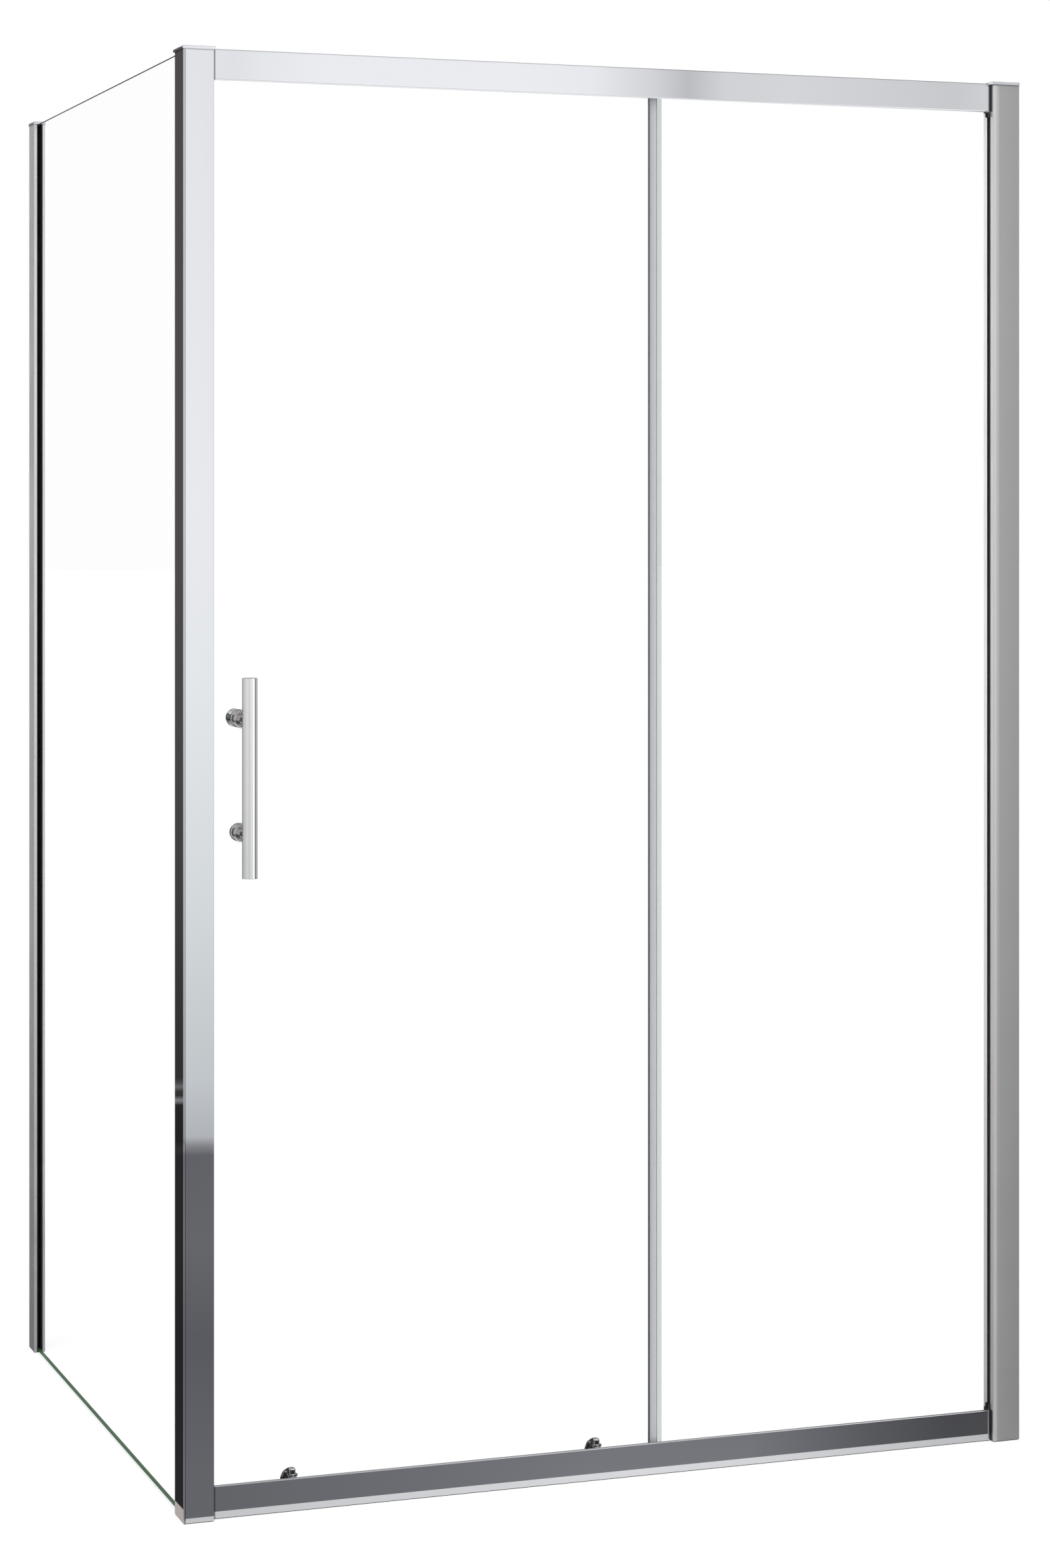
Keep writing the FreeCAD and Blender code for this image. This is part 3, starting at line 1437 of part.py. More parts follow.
def handle():
    """Bar outside, necks and rosettes, studs through the glass, knob and cap inside."""
    low = d.handle_height - d.handle_length / 2
    bar = rod("handle_bar_rod", "+Z", (handle_x, handle_axis_y, low), d.handle_radius, d.handle_length)
    bar = rounded_solid("handle_bar_rounded", bar, lambda edge: edge.BoundBox.ZLength < 0.01, d.handle_round)
    keep(bar, "handle_bar")

    seat = door_front - d.washer
    stud_start = seat - d.stud_in_neck
    necks = []
    rosettes = []
    washers = []
    studs = []
    for name, z in fixing_z.items():
        neck_length = seat - handle_axis_y
        neck = turned(
            f"neck_{name}",
            "+Y",
            (handle_x, handle_axis_y, z),
            [
                (ZERO, ZERO),
                (d.neck_radius, ZERO),
                (d.neck_radius, neck_length),
                (d.stud_radius + d.fit_gap, neck_length),
                (d.stud_radius + d.fit_gap, neck_length - d.stud_in_neck - d.fit_gap),
                (ZERO, neck_length - d.stud_in_neck - d.fit_gap),
            ],
        )
        axis_foot = (handle_x, handle_axis_y, low)
        saddle = rod(f"neck_{name}_saddle", "+Z", axis_foot, d.handle_radius, d.handle_length)
        necks.append(cut(f"neck_{name}_cut", neck, [saddle]))
        rosettes.append(rosette(f"rosette_{name}", z, seat))
        inner_end = inner_seat + d.stud_in_knob
        stud_length = inner_end - stud_start
        studs.append(rod(f"stud_{name}", "+Y", (handle_x, stud_start, z), d.stud_radius, stud_length))
        for place_name, y in (("outer", seat), ("inner", door_back)):
            washer_name = f"handle_washer_{name}_{place_name}"
            bore = d.stud_radius + d.fit_gap
            washers.append(washer(washer_name, handle_x, y, z, d.rosette_radius - d.fit_gap * 5, bore))
    keep(group("handle_neck_group", necks), "handle_necks")
    keep(group("handle_rosette_group", rosettes), "handle_rosettes")
    keep(group("handle_washer_group", washers), "handle_washers")
    keep(group("handle_stud_group", studs), "handle_studs")

    bore = d.stud_radius + d.fit_gap
    depth = d.stud_in_knob + d.fit_gap
    knob = turned(
        "inner_knob",
        "+Y",
        (handle_x, inner_seat, fixing_z["upper"]),
        [
            (bore, ZERO),
            (d.rosette_radius, ZERO),
            (d.rosette_radius, d.knob_base),
            (d.knob_waist, d.knob_base + d.rosette_round),
            (d.knob_waist, d.knob_length / 2),
            (d.rosette_radius, d.knob_length / 2 + d.rosette_round),
            (d.rosette_radius, d.knob_length),
            (ZERO, d.knob_length),
            (ZERO, depth),
            (bore, depth),
        ],
    )

    def dome(edge):
        return near(edge.CenterOfMass.y, d.knob_length) and edge.BoundBox.YLength < 0.01

    rounded(knob, dome, d.rosette_radius * 0.6)
    keep(knob, "inner_pull_knob")

    inner_cap = turned(
        "inner_cap",
        "+Y",
        (handle_x, inner_seat, fixing_z["lower"]),
        [
            (bore, ZERO),
            (d.rosette_radius, ZERO),
            (d.rosette_radius, d.inner_cap_thickness - d.rosette_round),
            (d.rosette_radius - d.rosette_round, d.inner_cap_thickness),
            (ZERO, d.inner_cap_thickness),
            (ZERO, depth),
            (bore, depth),
        ],
    )
    keep(inner_cap, "inner_fixing_cap")


def rosette(name, z, seat):
    """Ring round a neck, rounded towards the bar."""
    body = turned(
        name,
        "+Y",
        (handle_x, seat - d.rosette_thickness, z),
        [
            (d.neck_radius + d.fit_gap, ZERO),
            (d.rosette_radius, ZERO),
            (d.rosette_radius, d.rosette_thickness),
            (d.neck_radius + d.fit_gap, d.rosette_thickness),
        ],
    )

    def outer_rim(edge):
        wide = edge.BoundBox.XLength > (d.rosette_radius + d.neck_radius).value
        return near(edge.CenterOfMass.y, ZERO) and edge.BoundBox.YLength < 0.01 and wide

    return rounded(body, outer_rim, d.rosette_round)


# ---------------------------------------------------------------- build, check, write

for make in (
    corner_post,
    caps,
    wall_post,
    wall_channel,
    side_wall_profiles,
    adjusting_screws,
    header,
    bottom_rail,
    rail_screws,
    header_stops,
    fixed_pane,
    door_pane,
    side_pane,
    hangers,
    release_rollers,
    handle,
):
    make()

doc.recompute()

for obj in doc.Objects:
    faults = [state for state in obj.State if state in ("Invalid", "Error")]
    if faults:
        raise RuntimeError(f"{obj.Label}: {faults}")

os.makedirs("parts", exist_ok=True)
for obj in nodes:
    shape = obj.Shape
    if shape.isNull() or not shape.isValid() or not shape.Solids:
        raise RuntimeError(f"{obj.Label}: its shape is not sound")
for obj in nodes:
    obj.Shape.exportStep(f"parts/{obj.Label}.step")
print(f"{len(nodes)} sub-parts, {sum(len(obj.Shape.Solids) for obj in nodes)} solids")
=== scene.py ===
"""Looks of a shower enclosure with a sliding door, and the studio around it.

Lengths are in metres, in the CAD's frame: X to the right along the front, Y to the back, Z up.
"""

import math

import bpy
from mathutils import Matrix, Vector


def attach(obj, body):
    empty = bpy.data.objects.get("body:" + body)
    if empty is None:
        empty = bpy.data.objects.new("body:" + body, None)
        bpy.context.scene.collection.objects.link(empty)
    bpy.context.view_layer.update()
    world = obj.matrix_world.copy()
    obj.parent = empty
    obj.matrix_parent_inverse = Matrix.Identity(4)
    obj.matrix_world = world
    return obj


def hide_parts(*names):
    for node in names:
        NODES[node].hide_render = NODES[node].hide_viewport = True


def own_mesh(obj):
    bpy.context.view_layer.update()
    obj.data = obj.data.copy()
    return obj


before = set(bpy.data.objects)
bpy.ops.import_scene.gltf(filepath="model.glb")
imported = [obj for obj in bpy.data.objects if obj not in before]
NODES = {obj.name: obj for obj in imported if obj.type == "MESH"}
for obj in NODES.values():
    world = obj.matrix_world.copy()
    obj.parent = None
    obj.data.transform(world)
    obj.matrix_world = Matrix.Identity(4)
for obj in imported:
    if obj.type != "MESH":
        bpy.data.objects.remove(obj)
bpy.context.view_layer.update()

# The photograph's frame, in its own pixels, and the place and turn of its camera.
IMAGE_HEIGHT = 2342
FOCAL_PIXELS = 5170.1
HORIZON_ROW = 747.4
CAMERA_AT = (-1.0989, -4.3604, 1.3149)
CAMERA_YAW = 19.6
SENSOR_WIDTH = 36.0
FAR_CLIP = 200.0

# The parts of a point's place, and then those of the surface's normal there, as axes() gives them.
X, Y, Z = 0, 1, 2
NORMAL_X, NORMAL_Y, NORMAL_Z = 3, 4, 5


# ---------------------------------------------------------------- nodes

def node(tree, kind, inputs=None, **settings):
    """Adds a node. A socket given for an input is linked to it, and a plain value is written on it."""
    new = tree.nodes.new(kind)
    for key, value in settings.items():
        setattr(new, key, value)
    for key, value in (inputs or {}).items():
        socket = new.inputs[key]
        if isinstance(value, bpy.types.NodeSocket):
            tree.links.new(value, socket)
        else:
            socket.default_value = value
    return new


def maths(tree, operation, first, second=0.0):
    """One arithmetic step on two numbers or sockets."""
    return node(tree, "ShaderNodeMath", {0: first, 1: second}, operation=operation).outputs[0]


def between(tree, value, low, high, out_low=0.0, out_high=1.0):
    """value from low..high to out_low..out_high, held at the ends."""
    inputs = {"Value": value, "From Min": low, "From Max": high, "To Min": out_low, "To Max": out_high}
    return node(tree, "ShaderNodeMapRange", inputs).outputs[0]


def blend_colours(tree, share, first, second, mode="MIX"):
    """Two colours mixed by share."""
    inputs = {0: share, 6: first, 7: second}
    return node(tree, "ShaderNodeMix", inputs, data_type="RGBA", blend_type=mode).outputs[2]


def ramp(tree, value, low, high, stops):
    """The colour at value, which runs from low to high, between (value, colour) stops."""
    new = node(tree, "ShaderNodeValToRGB", {"Fac": between(tree, value, low, high)})
    elements = new.color_ramp.elements
    while len(elements) < len(stops):
        elements.new(0.5)
    for element, (stop, colour) in zip(elements, stops):
        element.position = (stop - low) / (high - low)
        element.color = (*colour, 1.0)
    return new.outputs["Color"]


def grey(value):
    """A neutral colour."""
    return (value, value, value, 1.0)


def paint(colour, factor=1.0):
    """A colour, made lighter or darker by factor."""
    return (*[min(1.0, channel * factor) for channel in colour], 1.0)


def place(tree):
    """Where a point of the piece is."""
    return node(tree, "ShaderNodeTexCoord").outputs["Object"]


def split(tree, vector):
    """The three parts of a vector."""
    return list(node(tree, "ShaderNodeSeparateXYZ", {0: vector}).outputs)


def axes(tree):
    """X, Y and Z of a point's place, and then NORMAL_X, NORMAL_Y and NORMAL_Z of the surface there."""
    return split(tree, place(tree)) + split(tree, node(tree, "ShaderNodeTexCoord").outputs["Normal"])


def noise(tree, scale, detail=2.0, roughness=0.5, stretch=(1.0, 1.0, 1.0), start=(0.0, 0.0, 0.0)):
    """Noise with features of 1/scale, drawn out by stretch."""
    mapped = node(tree, "ShaderNodeMapping", {"Vector": place(tree), "Scale": stretch, "Location": start})
    inputs = {"Vector": mapped.outputs[0], "Scale": scale, "Detail": detail, "Roughness": roughness}
    return node(tree, "ShaderNodeTexNoise", inputs).outputs[0]


def spread(tree, pattern, low=0.0, high=1.0):
    """Noise, which seldom leaves the middle of its range, spread over low..high."""
    return between(tree, pattern, 0.3, 0.7, low, high)


def bump(tree, height, depth, under=None):
    """A normal from a height of 0..1 that stands for depth, on top of the normal under it."""
    inputs = {"Height": height, "Distance": depth, "Strength": 1.0}
    if under is not None:
        inputs["Normal"] = under
    return node(tree, "ShaderNodeBump", inputs).outputs[0]


def new_material(name):
    """A material with nothing in it, its tree and its output node."""
    made = bpy.data.materials.new(name)
    made.use_nodes = True
    made.node_tree.nodes.clear()
    return made, made.node_tree, node(made.node_tree, "ShaderNodeOutputMaterial")


def show(tree, output, shader):
    """Makes a shader the surface."""
    tree.links.new(shader.outputs[0], output.inputs["Surface"])


def finish_surface(tree, output, **inputs):
    """Principled surface from named inputs, with underscores for spaces."""
    named = {key.replace("_", " "): value for key, value in inputs.items()}
    show(tree, output, node(tree, "ShaderNodeBsdfPrincipled", named))


def dress(material, *names):
    """Gives CAD nodes a material."""
    for name in names:
        slots = NODES[name].data.materials
        slots.clear()
        slots.append(material)


# ---------------------------------------------------------------- metals

# The fine lines that a die leaves run this far along a profile, and are this far apart.
LINE_LENGTH = 1.6
LINE_PITCH = 0.0011


def along(axis, length, width):
    """Scale that draws noise out along an extrusion."""
    scale = [1.0 / width] * 3
    scale[axis] = 1.0 / length
    return tuple(scale)


def die_lines(tree, axis):
    """The fine lines along a profile."""
    return noise(tree, 1.0, detail=4.0, roughness=0.65, stretch=along(axis, LINE_LENGTH, LINE_PITCH))


def smudges(tree, low=0.0, high=1.0):
    """Where a profile has been handled, as low..high."""
    handled = noise(tree, 9.0, detail=5.0, roughness=0.6, start=(3.0, 1.0, 2.0))
    return between(tree, handled, 0.42, 0.72, low, high)


def extrusion(name, axis, colour, rough, rough_spread, line_depth, line_share, marks=()):
    """Drawn or rolled aluminium: lines along the profile, faint smudges and a little waviness.

    Each mark is (part of axes(), start, end, shade): from start to end the metal turns to that shade of
    itself.
    The marks are painted shade: the shadow of a joint, the shade under a cap, a darker reflection round a
    corner.
    """
    made, tree, output = new_material(name)
    lines = die_lines(tree, axis)
    wave = noise(tree, 1.0, detail=1.0, stretch=along(axis, 0.35, 0.05))
    tint = blend_colours(tree, spread(tree, lines), paint(colour, 1.0 - line_share), paint(colour))
    spot = axes(tree)
    # Each mark paints shade into the metal's colour.
    for where, start, end, shade in marks:
        tint = blend_colours(tree, between(tree, spot[where], start, end), tint, paint(colour, shade))
    smudged = maths(tree, "MULTIPLY", smudges(tree), rough_spread)
    normal = bump(tree, lines, line_depth, under=bump(tree, wave, 0.00005))
    finish_surface(tree, output, Base_Color=tint, Metallic=1.0, Normal=normal,
                   Roughness=maths(tree, "ADD", smudged, rough))
    return made


# The wall post's own colour, and then the painted light and shade that wall_post_metal() lays on it.
POST_SATIN = (0.455, 0.450, 0.445)
# Painted highlight: a warm light strip on the rounded corner, low down.
PAINTED_CORNER_HIGHLIGHT = (0.74, 0.70, 0.69)
# Painted light on the left side, behind the glass.
PAINTED_REAR_LIGHT = (1.0, 0.975, 0.960)
# Painted shadow on the left side, beside the header's and the rail's ends.
JOINT_SHADE = (0.030, 0.031, 0.036)

# Bands on a profile: the part of axes(), where the band starts and where it is full. A longer one ends with
# its shares at those two places.
# Painted shade under the caps.
UNDER_CAP = (Z, 1.8945, 1.8950)
BESIDE_HEADER = (Z, 1.8572, 1.8590)
BESIDE_RAIL = (Z, 0.0442, 0.0418)
LEFT_SIDE = (NORMAL_X, -0.80, -0.97)
BEHIND_FRONT_EDGE = (Y, -0.0222, -0.0192)
BEHIND_GLASS = (Y, -0.0060, -0.0052)
TOWARDS_LEFT = (X, 1.1500, 1.1412)
BRIGHTER_UPWARD = (Z, 0.30, 0.95, 0.35, 1.0)
TOWARDS_RIGHT = (X, 1.1500, 1.1760)
ROUNDED_CORNER = (X, 1.1452, 1.1444)
LOWER_PART = (Z, 1.50, 0.70)


def wall_post_metal():
    """Satin aluminium of the wall post, duller than the rails, with painted light and shade: painted
    highlights, painted shade and a painted shadow where the rails' ends meet its side.
    """
    made, tree, output = new_material("satin_aluminium_wall_post")
    lines = die_lines(tree, Z)
    spot = axes(tree)

    def band(where, *span):
        return between(tree, spot[where], *span)

    def both(first, second):
        return maths(tree, "MULTIPLY", first, second)

    left_side = band(*LEFT_SIDE)
    beside_rails = maths(tree, "MAXIMUM", band(*BESIDE_HEADER), band(*BESIDE_RAIL))
    # Painted light and shade, in this order: a painted highlight towards the left edge, stronger upward;
    # painted shade on the right half; a painted highlight on the rounded corner, low down; painted light on
    # the left side behind the glass; painted shade under the cap; painted shadow on the left side beside the
    # header's and the rail's ends.
    layers = (
        (both(band(*TOWARDS_LEFT), band(*BRIGHTER_UPWARD)), paint(POST_SATIN, 1.70)),
        (band(*TOWARDS_RIGHT), paint(POST_SATIN, 0.88)),
        (both(band(*ROUNDED_CORNER), band(*LOWER_PART)), paint(PAINTED_CORNER_HIGHLIGHT)),
        (both(left_side, band(*BEHIND_GLASS)), paint(PAINTED_REAR_LIGHT)),
        (band(*UNDER_CAP), paint(POST_SATIN, 0.55)),
        (both(both(left_side, band(*BEHIND_FRONT_EDGE)), beside_rails), paint(JOINT_SHADE)),
    )
    tint = blend_colours(tree, spread(tree, lines), paint(POST_SATIN, 0.95), paint(POST_SATIN))
    for share, colour in layers:
        tint = blend_colours(tree, share, tint, colour)
    finish_surface(tree, output, Base_Color=tint, Metallic=0.6, Roughness=smudges(tree, 0.30, 0.36),
                   Normal=bump(tree, lines, 0.00001))
    return made


def chrome(name, colour, rough, peel=0.000004, speck=0.02):
    """Chrome plate: mirror-like, with the plate's faint orange peel and a few water spots."""
    made, tree, output = new_material(name)
    skin = noise(tree, 900.0, detail=2.0)
    spots = noise(tree, 260.0, detail=4.0, start=(5.0, 2.0, 8.0))
    film = noise(tree, 30.0, detail=3.0, start=(1.0, 7.0, 3.0))
    dull = between(tree, spots, 0.62, 0.78, 0.0, speck * 3.0)
    haze = between(tree, film, 0.4, 0.75, 0.0, speck)
    tint = blend_colours(tree, between(tree, film, 0.35, 0.8, 0.0, 0.5), paint(colour), paint(colour, 0.94))
    finish_surface(tree, output, Base_Color=tint, Metallic=1.0, Normal=bump(tree, skin, peel),
                   Roughness=maths(tree, "ADD", rough, maths(tree, "ADD", dull, haze)))
    return made


def turned_steel(name, colour, rough):
    """Turned or drawn steel with fine tool marks."""
    made, tree, output = new_material(name)
    marks = noise(tree, 1.0, detail=3.0, stretch=(2500.0, 700.0, 2500.0))
    grain = noise(tree, 400.0, detail=3.0)
    tint = blend_colours(tree, between(tree, grain, 0.35, 0.7), paint(colour), paint(colour, 0.82))
    finish_surface(tree, output, Base_Color=tint, Metallic=1.0, Normal=bump(tree, marks, 0.000006),
                   Roughness=spread(tree, grain, rough, rough + 0.12))
    return made


# ---------------------------------------------------------------- plastics, rubbers and seals

MOTTLE = 0.08


def moulded(name, colour, rough):
    """Moulded plastic or rubber with a fine grain and slightly uneven colour."""
    made, tree, output = new_material(name)
    grain = noise(tree, 1800.0, detail=3.0)
    cloud = noise(tree, 45.0, detail=3.0, start=(2.0, 9.0, 4.0))
    tint = blend_colours(tree, spread(tree, cloud), paint(colour, 1.0 - MOTTLE), paint(colour, 1.0 + MOTTLE))
    finish_surface(tree, output, Base_Color=tint, Normal=bump(tree, grain, 0.00001),
                   Roughness=spread(tree, cloud, rough - 0.05, rough + 0.05))
    return made


SEEN_THROUGH_SEAL = (0.865, 0.895, 0.895)
SEAL_IOR = 1.45


def extruded_seal(name, colour, rough, clear):
    """Soft extruded seal: drawn along Z, faintly streaked, and see-through by the share clear."""
    made, tree, output = new_material(name)
    streak = noise(tree, 1.0, detail=3.0, stretch=along(Z, 0.4, 0.0009))
    tint = blend_colours(tree, spread(tree, streak), paint(colour, 0.93), paint(colour))
    surface = node(tree, "ShaderNodeBsdfPrincipled",
                   {"Base Color": tint, "Roughness": rough, "IOR": SEAL_IOR,
                    "Normal": bump(tree, streak, 0.00002)})
    see = node(tree, "ShaderNodeBsdfTransparent", {"Color": paint(SEEN_THROUGH_SEAL)})
    mixed = node(tree, "ShaderNodeMixShader", {0: clear, 1: surface.outputs[0], 2: see.outputs[0]})
    show(tree, output, mixed)
    return made


# ---------------------------------------------------------------- glass

# The ground edges' own dark green, with painted light and shade on it: lighter and greener on the bottom
# edge, nearly black on the top edge, in between on the sides.
EDGE_BOTTOM = (0.044, 0.102, 0.044)
EDGE_TOP = (0.010, 0.014, 0.010)
EDGE_SIDE = (0.060, 0.072, 0.064)
EDGE_HOLE = (0.030, 0.036, 0.032)
EDGE_STREAK = (0.03, 0.06, 0.035)
GLASS_TINT = (0.9992, 1.0, 0.9996)
MIRRORED_STRAIGHT_ON = 0.0015
MIRRORED_GRAZING = 0.03
MIDDLE_HEIGHT = 1.0
BEYOND_EVERY_PANE = 1.0


def pane(name, across, edge_side, glow=0.0, top_dark_to=BEYOND_EVERY_PANE):
    """Clear safety glass. The broad faces are seen through, and the ground edge faces are dark green.

    across is the axis through the pane. glow is painted light: an emission on the lower edge that stands in
    for light led down inside the glass. The top edge is dark up to top_dark_to on that axis, and seen
    through from there on.
    """
    made, tree, output = new_material(name)
    spot = axes(tree)
    broad = maths(tree, "GREATER_THAN", maths(tree, "ABSOLUTE", spot[NORMAL_X + across]), 0.5)
    level_face = maths(tree, "GREATER_THAN", maths(tree, "ABSOLUTE", spot[NORMAL_Z]), 0.5)
    low = maths(tree, "MULTIPLY", level_face, maths(tree, "LESS_THAN", spot[Z], MIDDLE_HEIGHT))
    high = maths(tree, "MULTIPLY", level_face, maths(tree, "GREATER_THAN", spot[Z], MIDDLE_HEIGHT))

    film = between(tree, noise(tree, 6.0, detail=4.0, roughness=0.6), 0.4, 0.8, 0.0, 0.02)
    drops = between(tree, noise(tree, 170.0, detail=3.0, start=(4.0, 1.0, 6.0)), 0.66, 0.8, 0.0, 0.05)
    shine = node(tree, "ShaderNodeBsdfGlossy",
                 {"Color": grey(1.0), "Roughness": maths(tree, "ADD", film, drops)})
    clear = node(tree, "ShaderNodeBsdfTransparent", {"Color": paint(GLASS_TINT)})
    facing = node(tree, "ShaderNodeLayerWeight", {"Blend": 0.5}).outputs["Facing"]
    grazing = maths(tree, "POWER", facing, 5.0)
    mirrored = between(tree, grazing, 0.0, 1.0, MIRRORED_STRAIGHT_ON, MIRRORED_GRAZING)
    face = node(tree, "ShaderNodeMixShader", {0: mirrored, 1: clear.outputs[0], 2: shine.outputs[0]})

    streaks = spread(tree, noise(tree, 40.0, detail=3.0), 0.0, 0.25)
    edge = blend_colours(tree, high, paint(edge_side), paint(EDGE_TOP))
    edge = blend_colours(tree, low, edge, paint(EDGE_BOTTOM))
    edge = blend_colours(tree, streaks, edge, paint(EDGE_STREAK))
    # Painted light: the lower edge glows by glow, though the glass is no lamp.
    ground = node(tree, "ShaderNodeBsdfPrincipled",
                  {"Base Color": edge, "Roughness": 0.35, "Emission Color": edge,
                   "Emission Strength": maths(tree, "MULTIPLY", low, glow)})
    beyond = maths(tree, "MULTIPLY", high, maths(tree, "GREATER_THAN", spot[across], top_dark_to))
    seen_through = maths(tree, "MAXIMUM", broad, beyond)
    whole = node(tree, "ShaderNodeMixShader", {0: seen_through, 1: ground.outputs[0], 2: face.outputs[0]})
    show(tree, output, whole)
    return made


# ---------------------------------------------------------------- dressing the CAD nodes

POLISHED = (0.92, 0.92, 0.92)
SATIN = (0.90, 0.875, 0.855)
MILL = (0.60, 0.60, 0.61)

# Painted shade on the polished profiles: a painted shadow beside the corner post, a painted shadow line
# under the header's top edge, and darker painted reflections off the bottom rail's front and on the posts'
# right side and left rounding.
BY_CORNER_POST = (X, 0.0245, 0.0236)
HEADER_TOP_EDGE = (Z, 1.8966, 1.8974)
OFF_THE_FRONT = (NORMAL_Y, -0.985, -0.95)
POST_RIGHT_SIDE = (X, 0.0186, 0.0192)
ROUNDING_STARTS = (NORMAL_X, -0.05, -0.12)
ROUNDING_ENDS = (NORMAL_X, -0.50, -0.62)


def polished(name, axis, *marks):
    """Polished aluminium, with the painted shade marks of extrusion()."""
    return extrusion(name, axis, POLISHED, rough=0.004, rough_spread=0.005, line_depth=0.0000005,
                     line_share=0.015, marks=marks)


# The marks below paint shade onto the rails, posts and side profile.
dress(polished("polished_aluminium_bottom_rail", X, (*OFF_THE_FRONT, 0.55), (*BY_CORNER_POST, 0.35)),
      "bottom_rail")
dress(polished("polished_aluminium_header", X, (*HEADER_TOP_EDGE, 0.55), (*BY_CORNER_POST, 0.30)),
      "header_rail")
dress(polished("polished_aluminium_posts", Z, (*POST_RIGHT_SIDE, 0.84), (*ROUNDING_STARTS, 0.50),
               (*ROUNDING_ENDS, 1.0), (*UNDER_CAP, 0.60)),
      "corner_post", "corner_post_cover")
dress(extrusion("satin_aluminium_side_profile", Z, SATIN, rough=0.26, rough_spread=0.05, line_depth=0.000002,
                line_share=0.05, marks=((*UNDER_CAP, 0.45),)),
      "side_wall_profile")
dress(wall_post_metal(), "wall_post")
dress(extrusion("mill_aluminium_along_z", Z, MILL, rough=0.42, rough_spread=0.06, line_depth=0.000004,
                line_share=0.12),
      "front_wall_channel", "side_wall_channel")

# One chrome plate in several tones, as painted light and shade: lightest on the corner cap and the warm
# handle, darker on the wall caps, buttons, fittings and rollers.
dress(chrome("cap_chrome_plate", (0.95, 0.95, 0.96), 0.07, peel=0.000008), "corner_post_cap")
dress(chrome("wall_cap_chrome_plate", (0.74, 0.74, 0.75), 0.10, peel=0.000008),
      "wall_post_cap", "side_profile_cap")
dress(chrome("handle_chrome_plate", (0.965, 0.93, 0.905), 0.03), "handle_bar")
dress(chrome("fitting_chrome_plate", (0.62, 0.605, 0.585), 0.04, peel=0.000002),
      "handle_necks", "handle_rosettes", "inner_fixing_cap", "inner_pull_knob")
dress(chrome("roller_chrome_plate", (0.50, 0.49, 0.48), 0.05, peel=0.000001, speck=0.005),
      "hanger_front_caps", "hanger_left", "hanger_right", "roller_front_caps", "roller_housing_left",
      "roller_housing_right")
dress(chrome("button_chrome_plate", (0.80, 0.79, 0.78), 0.05, peel=0.000001, speck=0.005),
      "release_button_left", "release_button_right")

dress(turned_steel("axle_steel_turned", (0.56, 0.55, 0.54), 0.22),
      "hanger_axles", "release_plunger_left", "release_plunger_right")
dress(turned_steel("spring_steel_wire", (0.48, 0.48, 0.49), 0.28),
      "release_spring_left", "release_spring_right")
dress(turned_steel("screw_steel_zinc", (0.60, 0.60, 0.60), 0.30),
      "front_adjust_screws", "side_adjust_screws", "handle_studs", "header_screws", "rail_screws")

dress(moulded("dark_plastic_moulded", (0.030, 0.030, 0.032), 0.42),
      "corner_post_foot", "fixed_glass_end_blocks", "fixed_glass_setting_blocks", "header_end_cap")
dress(moulded("grey_gasket_rubber", (0.045, 0.044, 0.043), 0.50), "fixed_glass_gasket")
dress(moulded("black_gasket_rubber", (0.016, 0.016, 0.017), 0.55),
      "side_glass_post_gasket", "side_glass_wall_gasket")
dress(moulded("stop_rubber_black", (0.022, 0.022, 0.022), 0.62), "header_stop_left", "header_stop_right")
dress(moulded("cover_plastic_grey", (0.42, 0.42, 0.43), 0.40), "front_adjust_covers", "side_adjust_covers")
dress(moulded("washer_plastic_clear", (0.72, 0.74, 0.74), 0.30),
      "handle_washers", "hanger_washers", "roller_washers")
dress(moulded("wheel_plastic_white", (0.62, 0.62, 0.60), 0.36),
      "top_wheel_left_a", "top_wheel_left_b", "top_wheel_right_a", "top_wheel_right_b",
      "bottom_wheel_left", "bottom_wheel_right")

dress(extruded_seal("grey_seal_soft", (0.70, 0.71, 0.735), 0.32, clear=0.0), "fixed_edge_seal")
dress(extruded_seal("clear_seal_soft", (0.58, 0.62, 0.63), 0.25, clear=0.86),
      "door_edge_seal", "door_leading_seal")

dress(pane("clear_glass_fixed", Y, EDGE_SIDE), "fixed_glass")
dress(pane("clear_glass_door", Y, EDGE_HOLE), "door_glass")
dress(pane("clear_glass_side", X, EDGE_SIDE, glow=0.22, top_dark_to=-0.0108), "side_glass")


# ---------------------------------------------------------------- release springs


def live_spring(side):
    """The release spring as a piece of its own, which moves with the door."""
    name = f"release_spring_{side}"
    piece = bpy.data.objects.new(f"{name}_live", NODES[name].data.copy())
    bpy.context.scene.collection.objects.link(piece)
    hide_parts(name)
    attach(piece, "door")
    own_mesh(piece)


for side in ("left", "right"):
    live_spring(side)


# ---------------------------------------------------------------- broken edges

BROKEN_EDGE = 0.0003
SAME_POINT = 0.000002
SHARP_ANGLE = 40.0


def break_edges(*names):
    """Rounds the sharp edges as polishing does. The CAD mesh stays as it is under the modifiers."""
    for name in names:
        piece = NODES[name]
        weld = piece.modifiers.new("joined_corners", "WELD")
        weld.merge_threshold = SAME_POINT
        bevel = piece.modifiers.new("broken_edges", "BEVEL")
        bevel.width = BROKEN_EDGE
        bevel.segments = 2
        bevel.limit_method = "ANGLE"
        bevel.angle_limit = math.radians(SHARP_ANGLE)
        bevel.harden_normals = True


break_edges("header_rail", "bottom_rail", "corner_post_cap", "wall_post_cap", "side_profile_cap")


# ---------------------------------------------------------------- room

def tones(*pairs, tint=(1.0, 1.0, 1.0)):
    """Stops of a ramp from (value, grey) pairs, with a tint."""
    return [(value, tuple(level * part for part in tint)) for value, level in pairs]


